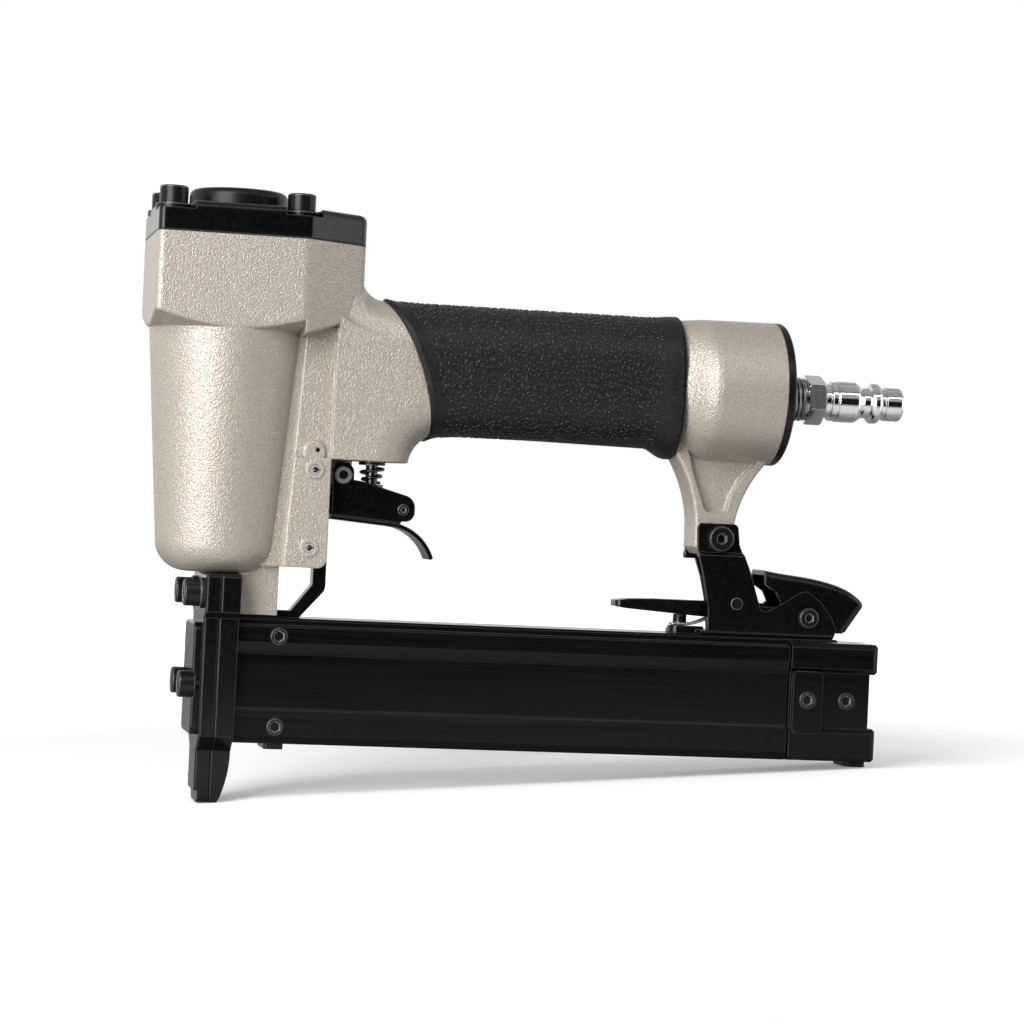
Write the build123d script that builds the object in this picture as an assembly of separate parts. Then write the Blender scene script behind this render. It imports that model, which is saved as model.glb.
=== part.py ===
from build123d import *
import os
from math import cos, exp, pi, sin, sqrt

# Air nailer, as the separate pieces that it is assembled from, in millimetres.
# Origin at the nose tip on the driver axis, +Z up along the driver, +X back along the handle
# to the air plug, +Y across the tool. The tool is symmetric about the plane Y = 0.

# Fits
PLAY = 0.05                 # radial play of a running or slip fit
ROOM = 0.3                  # room between pieces that move past each other

# Casting: barrel and collar
BARREL_BOTTOM = 70.8
BARREL_BOTTOM_R = 18.6
BARREL_TOP = 148.0
BARREL_TOP_R = 24.25
BARREL_CORNER_R = 9.5
COLLAR_FRONT = -24.7
COLLAR_HALF = 24.3          # half width between the flat sides
COLLAR_SHOULDER = 21.3      # where the flat sides end and the oblique faces begin
COLLAR_REAR = 41.1
COLLAR_REAR_HALF = 9.0
COLLAR_TOP = 173.6
COLLAR_FOOT = 145.6         # lowest point of the conical underside, on the flat sides
COLLAR_SLOPE = 0.42         # rise of that underside per millimetre of radius
COLLAR_REAR_FOOT = 144.4    # lower edge of the oblique faces, at the shoulder
COLLAR_REAR_RISE = 0.36     # rise of that edge per millimetre towards the rear
COLLAR_RIM_R = 1.2          # rounding of the lower edges

# Casting: web, neck, handle and rear boss
WEB_HALF = 12.5
WEB_CORE_HALF = 11.5
WEB_REAR = 32.5
WEB_BOTTOM = 73.5
PAD_HALF = 13.3
PAD_TOP = 107.6
PAD_HOLE = (28.2, 109.9)
VALVE_BLOCK_BOTTOM = 107.3
VALVE_BLOCK_REAR = 57.9
HANDLE_Z = 137.1
HANDLE_HEIGHT = 41.0
HANDLE_WIDTH = 31.0
NECK_FRONT = 32.4
NECK_HALF = 15.1
NECK_TOP = 157.6
NECK_HEEL_R = 12.0
SADDLE_R = 8.0              # hollow curve between the collar's rear and the top of the neck
SADDLE_X = (33.0, 35.0, 37.0, 39.0, 41.1, 41.5, 42.1, 42.9, 43.9, 45.1, 46.5, 49.1, 52.0, 55.0, 60.0)
CORE_HEIGHT = 35.5
CORE_WIDTH = 25.0
NECK_EDGE_X = -16.2         # centre and radius of the rounded cut where the rubber grip begins
NECK_EDGE_Z = 110.4
NECK_EDGE_R = 80.0
GRIP_REAR = 143.6
GRIP_FLARE = 2.3
GRIP_FLARE_Z = 135.6
BOSS_Z = 135.35
BOSS_R = 22.9
BOSS_REAR = 175.1
BOSS_FRONT = 141.0
BOSS_FULL = 154.0
AIR_BORE_R = 10.0
AIR_BORE_Z = 136.5
BOSS_BORE_R = 18.5
BOSS_BORE_FRONT = 156.0

# Casting: rear leg and front foot
LEG_HALF = 7.0
LEG_EDGE_R = 1.2
POCKET_DEPTH = 2.6
LEG_BOTTOM = 83.2
FOOT_FRONT = 6.2
FOOT_REAR = 18.4
FOOT_HALF = 9.5
FOOT_BOTTOM = 58.35

# Cylinder parts inside the barrel
LOWER_BORE_R = 15.4
LOWER_BORE_FLOOR = 77.0
UPPER_BORE_R = 19.0
UPPER_BORE_FLOOR = 150.0
LINER_R = 14.5
LINER_BORE_R = 12.5
LINER_BOTTOM = 80.0
LINER_TOP = 156.0
BUMPER_TOP = 86.5
PISTON_BOTTOM = 141.0
PISTON_TOP = 150.0
STROKE = 54.0
BLADE_THICK = 1.4
BLADE_WIDTH = 6.0
BLADE_BOTTOM = 53.5
BLADE_TOP = 144.4
DRIVER_PIN_Z = 142.8
RING_GROOVE_R = 11.0
VALVE_LIFT = 3.0
HEAD_VALVE_BOTTOM = 157.6
HEAD_VALVE_TOP = 166.0
HEAD_POST_R = 6.0
HEAD_POST_TOP = 176.0

# Cap, its screws and the exhaust deflector
GASKET = 0.4
CAP_BOTTOM = COLLAR_TOP + GASKET
CAP_TOP = 183.2
CAP_EDGE_R = 2.2
CAP_SCREW_X = 19.6
CAP_SCREW_Y = 13.4
SPOT_FACE_Z = 180.6
SPOT_FACE_R = 5.85
M5_R = 2.5
M5_HEAD_R = 4.1
M5_HEAD = 5.0
CAP_HEAD = 5.5             # height of the heads on the cap
CAP_HEAD_R = 4.35
M5_KEY = 4.0
CAP_WASHER = 1.9
CAP_WASHER_R = 5.5
CAP_SCREW_END = 162.1
DEFLECTOR_X = 1.7
DEFLECTOR_R = 15.25
DEFLECTOR_TOP = 188.8
DEFLECTOR_BOLT_R = 2.5

# End cap and air plug
END_CAP = 2.8
END_CAP_SPIGOT = 7.0
PLUG_Z = 134.3
THREAD_R = 6.58             # taper thread of a quarter-inch pipe
HEX_FLATS = 14.0
HEX_TURN = 22.4
HEX_FRONT = 187.0
HEX_REAR = 192.6
PLUG_TIP_R = 5.45
PLUG_TIP = 219.5

# Trigger and its valve
PIVOT_X = 37.2
PIVOT_Z = 102.7
PIVOT_R = 1.75
TRIGGER_HALF = 7.5
TRIGGER_SHEET = 1.5
TRIGGER_FRONT = 34.4
TRIGGER_REAR = 60.3
TRIGGER_EAR = 3.5
TRIGGER_EAR_RISE = 4.0
CROSS_PIN_X = 56.6
CROSS_PIN_Z = 92.7
CROSS_PIN_R = 1.3
TRIGGER_FLOOR = 89.6        # middle of the bottom sheet, at its front
TRIGGER_BEND = (53.0, 88.1)
TRIGGER_TAIL = (66.5, 77.6)
TAIL_SHEET = 1.3
TAIL_END_R = 0.55
CONTACT_TOP = 97.15
STEM_X = 47.3
STEM_R = 1.9
STEM_TIP = 97.6
STEM_COLLAR_Z = 99.2
STEM_COLLAR_R = 3.8
STEM_TOP = 123.5
BUSH_R = 5.9
BUSH_TOP = 126.0
BUSH_FLANGE_R = 4.2
BUSH_FLANGE = 1.1
SPRING_WIRE_R = 0.5
SPRING_TOP_R = 3.75         # to the centre of the wire
SPRING_LOW_R = 2.55
SPRING_TURNS = 2.25
SPRING_LOW_Z = STEM_COLLAR_Z + 1.0 + SPRING_WIRE_R + PLAY
SPRING_TOP_Z = VALVE_BLOCK_BOTTOM - BUSH_FLANGE - SPRING_WIRE_R - PLAY

# Stay strap behind the web, and its roll pins
STAY_HALF = 3.0
STAY_FRONT = 24.6
STAY_LEG_FRONT = 29.9
STAY_REAR = 34.0
STAY_HEEL_R = 4.0
STAY_TOP = 105.0
ROLL_PIN_R = 1.5
PIN_RING_R = 2.9
PIN_RING = 0.3              # height of the raised rings round the pins
ROLL_PINS = [(27.7, 103.8), (26.9, 79.7)]

# Nose
NOSE_FRONT = -4.75
NOSE_TOP = 70.7
NOSE_REAR = 6.0
PARTING_EDGE = 0.35         # broken edge of the two halves where they meet
CHANNEL_X = 0.85
CHANNEL_Y = 3.15
NOSE_SCREW_UPPER = (12.7, 64.5)
NOSE_SCREW_LOWER = (10.3, 36.4)
COVER_PLATE = 2.5
NOSE_WASHER = 1.3
COVER_SPOT_FACE = 0.9
MOUNT_SCREW = (6.3, 65.0)
M4_R = 2.0
M4_HEAD_R = 3.0
MOUNT_SCREW_END = 15.0

# Magazine
MAG_FRONT = 6.3
MAG_REAR = 182.5
MAG_TOP = 57.7
MAG_BOTTOM = 19.0
MAG_HALF = 13.0
MAG_WAIST_HALF = 11.6
MAG_CAVITY = (8.8, 21.3, 54.2)      # half width, floor, ceiling
RAIL_HALF = 5.2
RAIL_BOTTOM = 21.6
RAIL_TOP = 53.6
RAIL_FRONT = 7.0
RAIL_REAR = 192.0
SLOT_HALF = 1.1
ROD_Z = 25.2
ROD_R = 1.0
ROD_BORE_R = 2.6
ROD_REAR = 197.0
PUSHER_FRONT = 8.0
PUSHER_LENGTH = 18.0
MAG_SCREW_X = 18.9
MAG_SCREW_Z = (52.1, 24.3)
SMALL_SCREW_R = 1.7
SMALL_HEAD_R = 2.65
SMALL_KEY = 3.0
SMALL_SEAT = 11.3
HEAD_ROOM = 0.12            # room round a sunk screw head
STRIP_REAR = 198.9          # rear end of the raised strip on top
COVER_FRONT = 183.2
COVER_REAR = 212.6
COVER_TOP = 56.6
COVER_WAIST_REAR = 209.8
COVER_SCREW_Z = 38.25
COVER_SCREW_X = (188.8, 202.3)
COVER_SEATS = (11.8, 9.9)
PAD_Y = 13.4
REAR_FOOT_BOTTOM = 17.0
BRACKET_SCREW_X = (149.1, 180.5)

# Latch
SHEET = 1.5
TAB_FRONT = 145.1
TAB = 2.4                   # thickness of the front tab that carries the leaf spring
CHEEK_OUT = 10.2            # outside of the bracket's lower part
EAR_OUT = LEG_HALF + SHEET + PLAY
EAR_STEP = 82.4             # height of the step between the two
LEG_BOLT_X = 158.7
LEG_BOLT_Z = 88.3
LATCH_X = 188.7
LATCH_Z = 64.3
LATCH_PIN_R = 2.0
LEVER_HALF = 8.4
LEVER_EDGE_R = 2.4
TONGUE_HALF = 4.6
TONGUE_TIP = 126.9
TONGUE_TOP = 68.3
TONGUE_REAR = 176.0
STUD_X = 164.8
STUD_Z = 67.9
FAR_EAR_CUT = [(140.0, 81.6), (155.9, 81.6), (157.9, 75.8), (159.9, 67.0), (160.6, 59.2), (140.0, 59.2)]
LEAF = 0.8                  # thickness of the latch's leaf spring

BASE = (Align.CENTER, Align.CENTER, Align.MIN)


def block(x, y, z):
    """Box between the two limits given for each axis."""
    centre = [(low + high) / 2 for low, high in (x, y, z)]
    size = [high - low for low, high in (x, y, z)]
    return Pos(*centre) * Box(*size)


def rod(start, direction, radius, length):
    """Cylinder from a start point along a direction."""
    return Plane(origin=start, z_dir=direction) * Cylinder(radius, length, align=BASE)


def tube(start, direction, outer, inner, length):
    """Round tube from a start point along a direction."""
    return rod(start, direction, outer, length) - rod(start, direction, inner, length)


def slab(outline, low, high):
    """Plate of a side outline of (x, z) points, between two values of y."""
    points = [(x, low, z) for x, z in outline]
    return extrude(make_face(Polyline(*points, close=True)), amount=high - low, dir=(0, 1, 0))


def both_sides(shape):
    """A shape and its mirror image across the tool's middle plane."""
    return shape + mirror(shape, about=Plane.XZ)


def soften(shape, axis, radius):
    """Rounds the edges that run along an axis."""
    return fillet(shape.edges().filter_by(axis), radius)


def near(edges, point, count):
    """The edges nearest to a point."""
    return edges.sort_by_distance(point)[:count]


def socket_screw(seat, into, shank_r, length, head_r, head_height, key):
    """Socket-head screw. The seat is the middle of the face under its head."""
    out = Vector(*into) * -1
    head = rod(seat, out, head_r, head_height)
    rim = head.edges().filter_by(GeomType.CIRCLE).sort_by_distance(seat)[-1]
    head = chamfer(rim, 0.1 * head_r)
    socket_depth = 0.6 * head_height
    bottom = Vector(*seat) + out * (head_height - socket_depth)
    socket = Plane(origin=bottom, z_dir=out) * extrude(RegularPolygon(key / sqrt(3), 6), amount=head_height)
    return head + rod(seat, into, shank_r, length) - socket


def corners(x, y):
    """The four points at plus and minus x and y."""
    return [(sx * x, sy * y) for sx in (-1, 1) for sy in (-1, 1)]


def collar_plan():
    """Plan of the collar and the cap: flat sides, square front, oblique faces to a narrow rear."""
    side = [
        (COLLAR_FRONT, COLLAR_HALF),
        (COLLAR_SHOULDER, COLLAR_HALF),
        (COLLAR_REAR, COLLAR_REAR_HALF),
    ]
    other = [(x, -y) for x, y in reversed(side)]
    return make_face(Polyline(*side, *other, close=True))


def collar_prism(bottom, top):
    """The collar's plan between two heights, with its upright edges rounded."""
    prism = extrude(Pos(0, 0, bottom) * collar_plan(), amount=top - bottom)
    rear, shoulder, front = 5.0, 4.5, 2.0
    prism = fillet(prism.edges().filter_by(Axis.Z).sort_by(Axis.X)[-2:], rear)
    prism = fillet(prism.edges().filter_by(Axis.Z).sort_by(Axis.X)[2:4], shoulder)
    return fillet(prism.edges().filter_by(Axis.Z).sort_by(Axis.X)[:2], front)


def barrel():
    """Tapered barrel with a rounded bottom edge."""
    outline = Polyline(
        (0, BARREL_BOTTOM),
        (BARREL_BOTTOM_R, BARREL_BOTTOM),
        (BARREL_TOP_R, BARREL_TOP),
        (0, BARREL_TOP),
        close=True,
    )
    solid = revolve(Plane.XZ * make_face(outline), Axis.Z)
    rim = solid.edges().filter_by(GeomType.CIRCLE).sort_by(Axis.Z)[0]
    return fillet(rim, BARREL_CORNER_R)


def collar():
    """Collar that carries the cap. Its underside is conical, and behind the shoulder it rises."""
    reach = 60.0
    low = COLLAR_FOOT - COLLAR_SLOPE * COLLAR_HALF
    high = COLLAR_FOOT + COLLAR_SLOPE * (reach - COLLAR_HALF)
    cone = Polyline((0, low), (reach, high), (reach, COLLAR_TOP), (0, COLLAR_TOP), close=True)
    ring = collar_prism(low, COLLAR_TOP) & revolve(Plane.XZ * make_face(cone), Axis.Z)
    curved = ring.edges().filter_by(lambda edge: edge.geom_type != GeomType.LINE)
    ring = fillet(curved.filter_by(lambda edge: edge.center().Z < COLLAR_TOP - 5.0), COLLAR_RIM_R)
    wedge_outline = [
        (COLLAR_SHOULDER, COLLAR_TOP),
        (COLLAR_SHOULDER, COLLAR_REAR_FOOT),
        (reach, COLLAR_REAR_FOOT + COLLAR_REAR_RISE * (reach - COLLAR_SHOULDER)),
        (reach, COLLAR_TOP),
    ]
    wedge = slab(wedge_outline, -COLLAR_HALF - 1.0, COLLAR_HALF + 1.0) & collar_prism(low - 10.0, COLLAR_TOP)
    oblique = [near(wedge.edges(), (30.8, side * 16.9, 147.8), 1)[0] for side in (-1, 1)]
    return ring + fillet(oblique, COLLAR_RIM_R)


def handle_section(x, width, height, middle):
    """Upright slot-shaped section of the handle at a distance along it."""
    return Plane.YZ.offset(x) * Pos(0, middle) * SlotOverall(height, width, rotation=90)


def handle_bar(front, rear, width, height):
    """Straight stretch of the handle."""
    return extrude(handle_section(front, width, height, HANDLE_Z), amount=rear - front)


def grip_cut(radius):
    """Round cutter across the tool whose surface is the front edge of the grip."""
    return rod((NECK_EDGE_X, -40.0, NECK_EDGE_Z), (0, 1, 0), radius, 80.0)


def neck():
    """Neck between the barrel and the grip: round on top, flat sides down to the trigger valve."""
    spring_line = NECK_TOP - NECK_HALF
    section = Line((-NECK_HALF, VALVE_BLOCK_BOTTOM), (NECK_HALF, VALVE_BLOCK_BOTTOM))
    section += Line((NECK_HALF, VALVE_BLOCK_BOTTOM), (NECK_HALF, spring_line))
    section += ThreePointArc((NECK_HALF, spring_line), (0, NECK_TOP), (-NECK_HALF, spring_line))
    section += Line((-NECK_HALF, spring_line), (-NECK_HALF, VALVE_BLOCK_BOTTOM))
    bar = extrude(Plane.YZ.offset(NECK_FRONT) * make_face(section), amount=45.0)
    bend = (VALVE_BLOCK_REAR + 2.7, VALVE_BLOCK_BOTTOM + 6.0)
    heel = (VALVE_BLOCK_REAR + 8.2, HANDLE_Z - HANDLE_HEIGHT / 2)
    far = NECK_FRONT + 50.0
    outline = ThreePointArc((VALVE_BLOCK_REAR, VALVE_BLOCK_BOTTOM), bend, heel)
    outline += Polyline(
        heel,
        (far, heel[1]),
        (far, VALVE_BLOCK_BOTTOM - 1.0),
        (VALVE_BLOCK_REAR, VALVE_BLOCK_BOTTOM - 1.0),
        (VALVE_BLOCK_REAR, VALVE_BLOCK_BOTTOM),
    )
    bar = bar - extrude(Plane.XZ * make_face(outline), amount=2 * NECK_HALF, both=True)
    arcs = bar.edges().filter_by(GeomType.CIRCLE).filter_by(lambda edge: edge.center().Z < heel[1])
    level = bar.edges().filter_by(Axis.X).filter_by(lambda edge: abs(edge.center().Z - heel[1]) < 0.1)
    bar = fillet(arcs + level, NECK_HEEL_R)
    return bar & grip_cut(NECK_EDGE_R)


def saddle_section(x):
    """Section of the saddle: flat sides up to a ridge, then a smooth curve over the top.

    The ridge and the shoulder fade out towards the grip, and the top follows a round hollow.
    """
    along = x - NECK_FRONT
    beyond = max(0.0, COLLAR_REAR + SADDLE_R - max(x, COLLAR_REAR))
    lift = SADDLE_R - sqrt(SADDLE_R * SADDLE_R - beyond * beyond)
    spring_line = NECK_TOP - NECK_HALF
    ridge = spring_line + 2.1 + 7.8 * exp(-along / 8.5)
    shoulder = spring_line + 7.7 + 9.5 * exp(-along / 6.8)
    crown = spring_line + 12.1 + 0.6 * lift + 0.9 * max(0.0, COLLAR_REAR - x)
    fade = exp(-along / 9.0)
    ledge = (NECK_HALF - 0.5 - 1.7 * fade, ridge + 1.6)
    curve = Spline(
        (NECK_HALF, ridge),
        ledge,
        (13.0 - 1.1 * fade, shoulder),
        (9.0, crown),
        (0, NECK_TOP + lift),
        (-9.0, crown),
        (-13.0 + 1.1 * fade, shoulder),
        (-ledge[0], ledge[1]),
        (-NECK_HALF, ridge),
    )
    low = spring_line - 10.0
    sides = Polyline((-NECK_HALF, ridge), (-NECK_HALF, low), (NECK_HALF, low), (NECK_HALF, ridge))
    return Plane.YZ.offset(x) * make_face(curve + sides)


def saddle():
    """Hollow curve from the collar's rear down to the top of the neck."""
    return loft([saddle_section(x) for x in SADDLE_X], ruled=True) & grip_cut(NECK_EDGE_R)


def web():
    """Web behind the barrel. Its lower part is a raised pad that takes the roll pins."""
    panel = [(18.8, WEB_BOTTOM), (WEB_REAR, WEB_BOTTOM), (WEB_REAR, BARREL_TOP), (23.1, BARREL_TOP)]
    plate = slab(panel, -WEB_HALF, WEB_HALF)
    plate = fillet(near(plate.edges().filter_by(Axis.Y), (WEB_REAR, 0, WEB_BOTTOM), 1), 3.0)
    pad = [(18.8, WEB_BOTTOM), (WEB_REAR, WEB_BOTTOM), (WEB_REAR, PAD_TOP), (20.8, PAD_TOP)]
    pad = slab(pad, -PAD_HALF, PAD_HALF)
    pad = fillet(near(pad.edges().filter_by(Axis.Y), (WEB_REAR, 0, WEB_BOTTOM), 1), 3.0)
    hump = rod((PAD_HOLE[0] - 1.0, -PAD_HALF, PAD_HOLE[1] - 0.6), (0, 1, 0), 3.6, 2 * PAD_HALF)
    hump = fillet(hump.edges().filter_by(GeomType.CIRCLE), 0.6)
    core = block((0, WEB_REAR - 3.0), (-WEB_CORE_HALF, WEB_CORE_HALF), (WEB_BOTTOM, BARREL_TOP))
    lug = soften_front(plate) + soften_front(pad) + hump + core
    for x, z in ROLL_PINS:
        ring = rod((x, -PAD_HALF - PIN_RING, z), (0, 1, 0), PIN_RING_R, 2 * (PAD_HALF + PIN_RING))
        lug += fillet(ring.edges().filter_by(GeomType.CIRCLE), 0.2)
    return lug


def soften_front(plate):
    """Rounds the long front edges of a plate of the web."""
    upright = plate.edges().filter_by(lambda edge: edge.length > 30.0)
    return fillet(upright.sort_by(Axis.X)[:2], 0.7)


def boss_section(share, room):
    """Oval section part of the way from the handle to the boss's round end, eased at both ends."""
    eased = share * share * (3 - 2 * share)
    half_width = 14.6 + eased * (BOSS_R - 0.2 - 14.6)
    half_height = 20.3 + eased * (BOSS_R - 0.2 - 20.3)
    middle = HANDLE_Z - 0.2 + eased * (BOSS_Z - HANDLE_Z + 0.2)
    place = BOSS_FRONT + share * (BOSS_FULL - BOSS_FRONT)
    return Plane.YZ.offset(place) * Pos(0, middle) * Ellipse(half_width + room, half_height + room)


def boss_front(room):
    """Front of the boss, grown by some room all round."""
    steps = 8
    swell = loft([boss_section(step / steps, room) for step in range(steps + 1)], ruled=True)
    if room > 0:
        swell += extrude(boss_section(0.0, room), amount=-room)
    return swell


def boss():
    """Rear boss: it swells from the handle's oval to a round end."""
    full = boss_section(1.0, 0.0)
    rear = Plane.YZ.offset(BOSS_REAR) * Pos(0, BOSS_Z) * Ellipse(BOSS_R, BOSS_R)
    return boss_front(0.0) + loft([full, rear], ruled=True)


def leg():
    """Rear leg that hangs from the boss, with a pocket in each side that runs out into the boss."""
    front = ThreePointArc((143.8, 114.0), (149.0, 103.0), (150.9, 92.0))
    rear = ThreePointArc((164.0, 93.0), (167.1, 103.0), (174.6, 114.0))
    corner = 2.2
    outline = front + rear
    outline += Polyline(
        (150.9, 92.0),
        (150.9, LEG_BOTTOM + corner),
        (150.9 + corner, LEG_BOTTOM),
        (164.0 - corner, LEG_BOTTOM),
        (164.0, LEG_BOTTOM + corner),
        (164.0, 93.0),
    )
    outline += Polyline((174.6, 114.0), (174.6, 122.0), (143.8, 122.0), (143.8, 114.0))
    plate = extrude(Plane.XZ * make_face(outline), amount=LEG_HALF, both=True)
    rims = plate.edges().filter_by(lambda edge: abs(edge.center().Y) > LEG_HALF - 0.1)
    plate = fillet(rims.filter_by(lambda edge: edge.center().Z < 113.0), LEG_EDGE_R)
    pocket_outline = [
        (147.0, 118.0),
        (149.3, 109.4),
        (154.0, 96.5),
        (160.8, 96.5),
        (162.2, 102.0),
        (165.0, 107.4),
        (170.4, 113.0),
        (170.4, 118.0),
    ]
    pocket = slab(pocket_outline, -LEG_HALF - 1.0, POCKET_DEPTH - LEG_HALF)
    low_corners = pocket.edges().filter_by(Axis.Y).sort_by(Axis.Z)[:2]
    pocket = fillet(low_corners, 1.8)
    floor_edges = pocket.faces().sort_by(Axis.Y)[-1].edges().filter_by(lambda edge: edge.center().Z < 117.0)
    return plate - both_sides(fillet(floor_edges, 0.6))


def foot():
    """Foot under the barrel, between the nose and the magazine."""
    return block((FOOT_FRONT, FOOT_REAR), (-FOOT_HALF, FOOT_HALF), (FOOT_BOTTOM, 80.0))


def trigger_lug():
    """Lug under the valve block that holds the trigger's pivot pin."""
    return block((34.2, 40.4), (-3.5, 3.5), (99.6, VALVE_BLOCK_BOTTOM + 2.0))


def casting_cavities():
    """Everything that is bored, drilled or milled out of the casting."""
    down = (0, 0, -1)
    cut = rod((0, 0, LOWER_BORE_FLOOR), (0, 0, 1), LOWER_BORE_R, 80.0)
    cut += rod((0, 0, UPPER_BORE_FLOOR), (0, 0, 1), UPPER_BORE_R, 40.0)
    cut += rod((0, 0, AIR_BORE_Z), (1, 0, 0), AIR_BORE_R, 160.0)
    cut += rod((BOSS_BORE_FRONT, 0, BOSS_Z), (1, 0, 0), BOSS_BORE_R, 40.0)
    cut += rod((STEM_X, 0, VALVE_BLOCK_BOTTOM - 1.0), (0, 0, 1), BUSH_R + PLAY, 24.0)
    cut += block((-1.1, 1.1), (-3.4, 3.4), (BARREL_BOTTOM - 1.0, LOWER_BORE_FLOOR + 1.0))
    for x, y in corners(CAP_SCREW_X, CAP_SCREW_Y):
        cut += rod((x, y, COLLAR_TOP + 1.0), down, M5_R + PLAY, 14.0)
    for side in (-1, 1):
        cut += mount_screw(side, PLAY)
    for x, z in ROLL_PINS:
        cut += rod((x, -20.0, z), (0, 1, 0), ROLL_PIN_R + PLAY, 40.0)
    for side in (-1, 1):
        cut += rod((PAD_HOLE[0], side * (PAD_HALF - 3.0), PAD_HOLE[1]), (0, side, 0), 0.7, 4.0)
    cut += rod((LEG_BOLT_X, -20.0, LEG_BOLT_Z), (0, 1, 0), M5_R + PLAY, 40.0)
    cut += rod((PIVOT_X, -5.0, PIVOT_Z), (0, 1, 0), PIVOT_R + PLAY, 10.0)
    stay_half = STAY_HALF + PLAY
    stay_height = (WEB_BOTTOM - 1.0, STAY_TOP + 0.6)
    cut += block((STAY_FRONT - PLAY, WEB_REAR + 0.4), (-stay_half, stay_half), stay_height)
    return cut


def body_casting():
    """The tool's main casting in light alloy."""
    shell = barrel() + web() + collar() + neck() + saddle() + foot()
    shell = shell + handle_bar(55.0, 146.0, CORE_WIDTH, CORE_HEIGHT) + boss() + leg() + trigger_lug()
    return shell - casting_cavities()


def cap_plate():
    """Cap over the cylinder: rounded top, spot-faced screw seats open to the sides, central bore."""
    cap = collar_prism(CAP_BOTTOM, CAP_TOP)
    cap = fillet(cap.faces().sort_by(Axis.Z)[-1].edges(), CAP_EDGE_R)
    up = (0, 0, 1)
    for x, y in corners(CAP_SCREW_X, CAP_SCREW_Y):
        side = 1 if y > 0 else -1
        cap -= rod((x, y, SPOT_FACE_Z), up, SPOT_FACE_R, 10.0)
        reach = sorted((y, side * 30.0))
        cap -= block((x - SPOT_FACE_R, x + SPOT_FACE_R), reach, (SPOT_FACE_Z, SPOT_FACE_Z + 10.0))
        cap -= rod((x, y, CAP_BOTTOM - 1.0), up, M5_R + PLAY, 20.0)
    bore_end = HEAD_POST_TOP + VALVE_LIFT + 1.0
    cap -= rod((0, 0, CAP_BOTTOM - 1.0), up, HEAD_POST_R + PLAY, bore_end - CAP_BOTTOM + 1.0)
    cap -= rod((DEFLECTOR_X, 0, CAP_TOP - 3.0), up, DEFLECTOR_BOLT_R + PLAY, 10.0)
    return cap


def cap_gasket():
    """Flat gasket between the casting and the cap."""
    sheet = collar_prism(COLLAR_TOP, CAP_BOTTOM)
    for x, y in corners(CAP_SCREW_X, CAP_SCREW_Y):
        sheet -= rod((x, y, COLLAR_TOP - 1.0), (0, 0, 1), M5_R + PLAY, 3.0)
    return sheet - rod((0, 0, COLLAR_TOP - 1.0), (0, 0, 1), UPPER_BORE_R, 3.0)


def cap_screws():
    """Four socket-head screws that hold the cap."""
    seat = SPOT_FACE_Z + CAP_WASHER
    places = corners(CAP_SCREW_X, CAP_SCREW_Y)
    down = (0, 0, -1)
    length = seat - CAP_SCREW_END
    screws = [socket_screw((x, y, seat), down, M5_R, length, CAP_HEAD_R, CAP_HEAD, M5_KEY) for x, y in places]
    return Compound(children=screws)


def cap_washers():
    """Spring washers under the cap screws."""
    hole_r = M5_R + PLAY
    places = [(x, y, SPOT_FACE_Z) for x, y in corners(CAP_SCREW_X, CAP_SCREW_Y)]
    return Compound(children=[ring(place, (0, 0, 1), CAP_WASHER_R, hole_r, CAP_WASHER) for place in places])


def ring(start, direction, outer, inner, thick):
    """Flat washer with its outer edges broken."""
    washer = tube(start, direction, outer, inner, thick)
    rims = washer.edges().filter_by(GeomType.CIRCLE).filter_by(lambda edge: edge.radius > 0.9 * outer)
    return chamfer(rims, 0.2)


def exhaust_deflector():
    """Round exhaust deflector that turns on the cap, with a rounded rim and a hollow underside."""
    low = CAP_TOP + PLAY
    disc = rod((DEFLECTOR_X, 0, low), (0, 0, 1), DEFLECTOR_R, DEFLECTOR_TOP - low)
    disc = fillet(disc.faces().sort_by(Axis.Z)[-1].edges(), 2.3)
    disc -= rod((DEFLECTOR_X, 0, low), (0, 0, 1), DEFLECTOR_R - 2.0, 2.0)
    disc += rod((DEFLECTOR_X, 0, low), (0, 0, 1), 5.0, 3.0)
    disc -= rod((DEFLECTOR_X, 0, low - 1.0), (0, 0, 1), DEFLECTOR_BOLT_R + PLAY, 10.0)
    return disc - rod((DEFLECTOR_X, 0, DEFLECTOR_TOP - 2.6), (0, 0, 1), 4.6, 5.0)


def deflector_screw():
    """Flat screw that the exhaust deflector turns on."""
    head_low = DEFLECTOR_TOP - 2.6 + ROOM
    screw = rod((DEFLECTOR_X, 0, CAP_TOP - 3.0), (0, 0, 1), DEFLECTOR_BOLT_R, head_low - CAP_TOP + 3.0)
    screw += rod((DEFLECTOR_X, 0, head_low), (0, 0, 1), 4.3, 1.7)
    key = extrude(Pos(DEFLECTOR_X, 0, head_low + 0.5) * RegularPolygon(3.0 / sqrt(3), 6), amount=5.0)
    return screw - key


def cylinder_liner():
    """Cylinder that the piston runs in, hung from a flange with air holes."""
    up = (0, 0, 1)
    liner = rod((0, 0, LINER_BOTTOM), up, LINER_R, LINER_TOP - LINER_BOTTOM)
    liner += rod((0, 0, UPPER_BORE_FLOOR), up, UPPER_BORE_R - PLAY, LINER_TOP - UPPER_BORE_FLOOR)
    liner -= rod((0, 0, LINER_BOTTOM - 1.0), up, LINER_BORE_R, LINER_TOP - LINER_BOTTOM + 2.0)
    for index in range(8):
        angle = index * pi / 4
        liner -= rod((16.8 * cos(angle), 16.8 * sin(angle), UPPER_BORE_FLOOR - 1.0), up, 1.4, 10.0)
    return liner


def liner_gasket():
    """Ring that seals the liner's lower end in the casting."""
    return tube((0, 0, LINER_BOTTOM - 2.0), (0, 0, 1), LOWER_BORE_R - 0.2, 12.6, 2.0)


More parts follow.
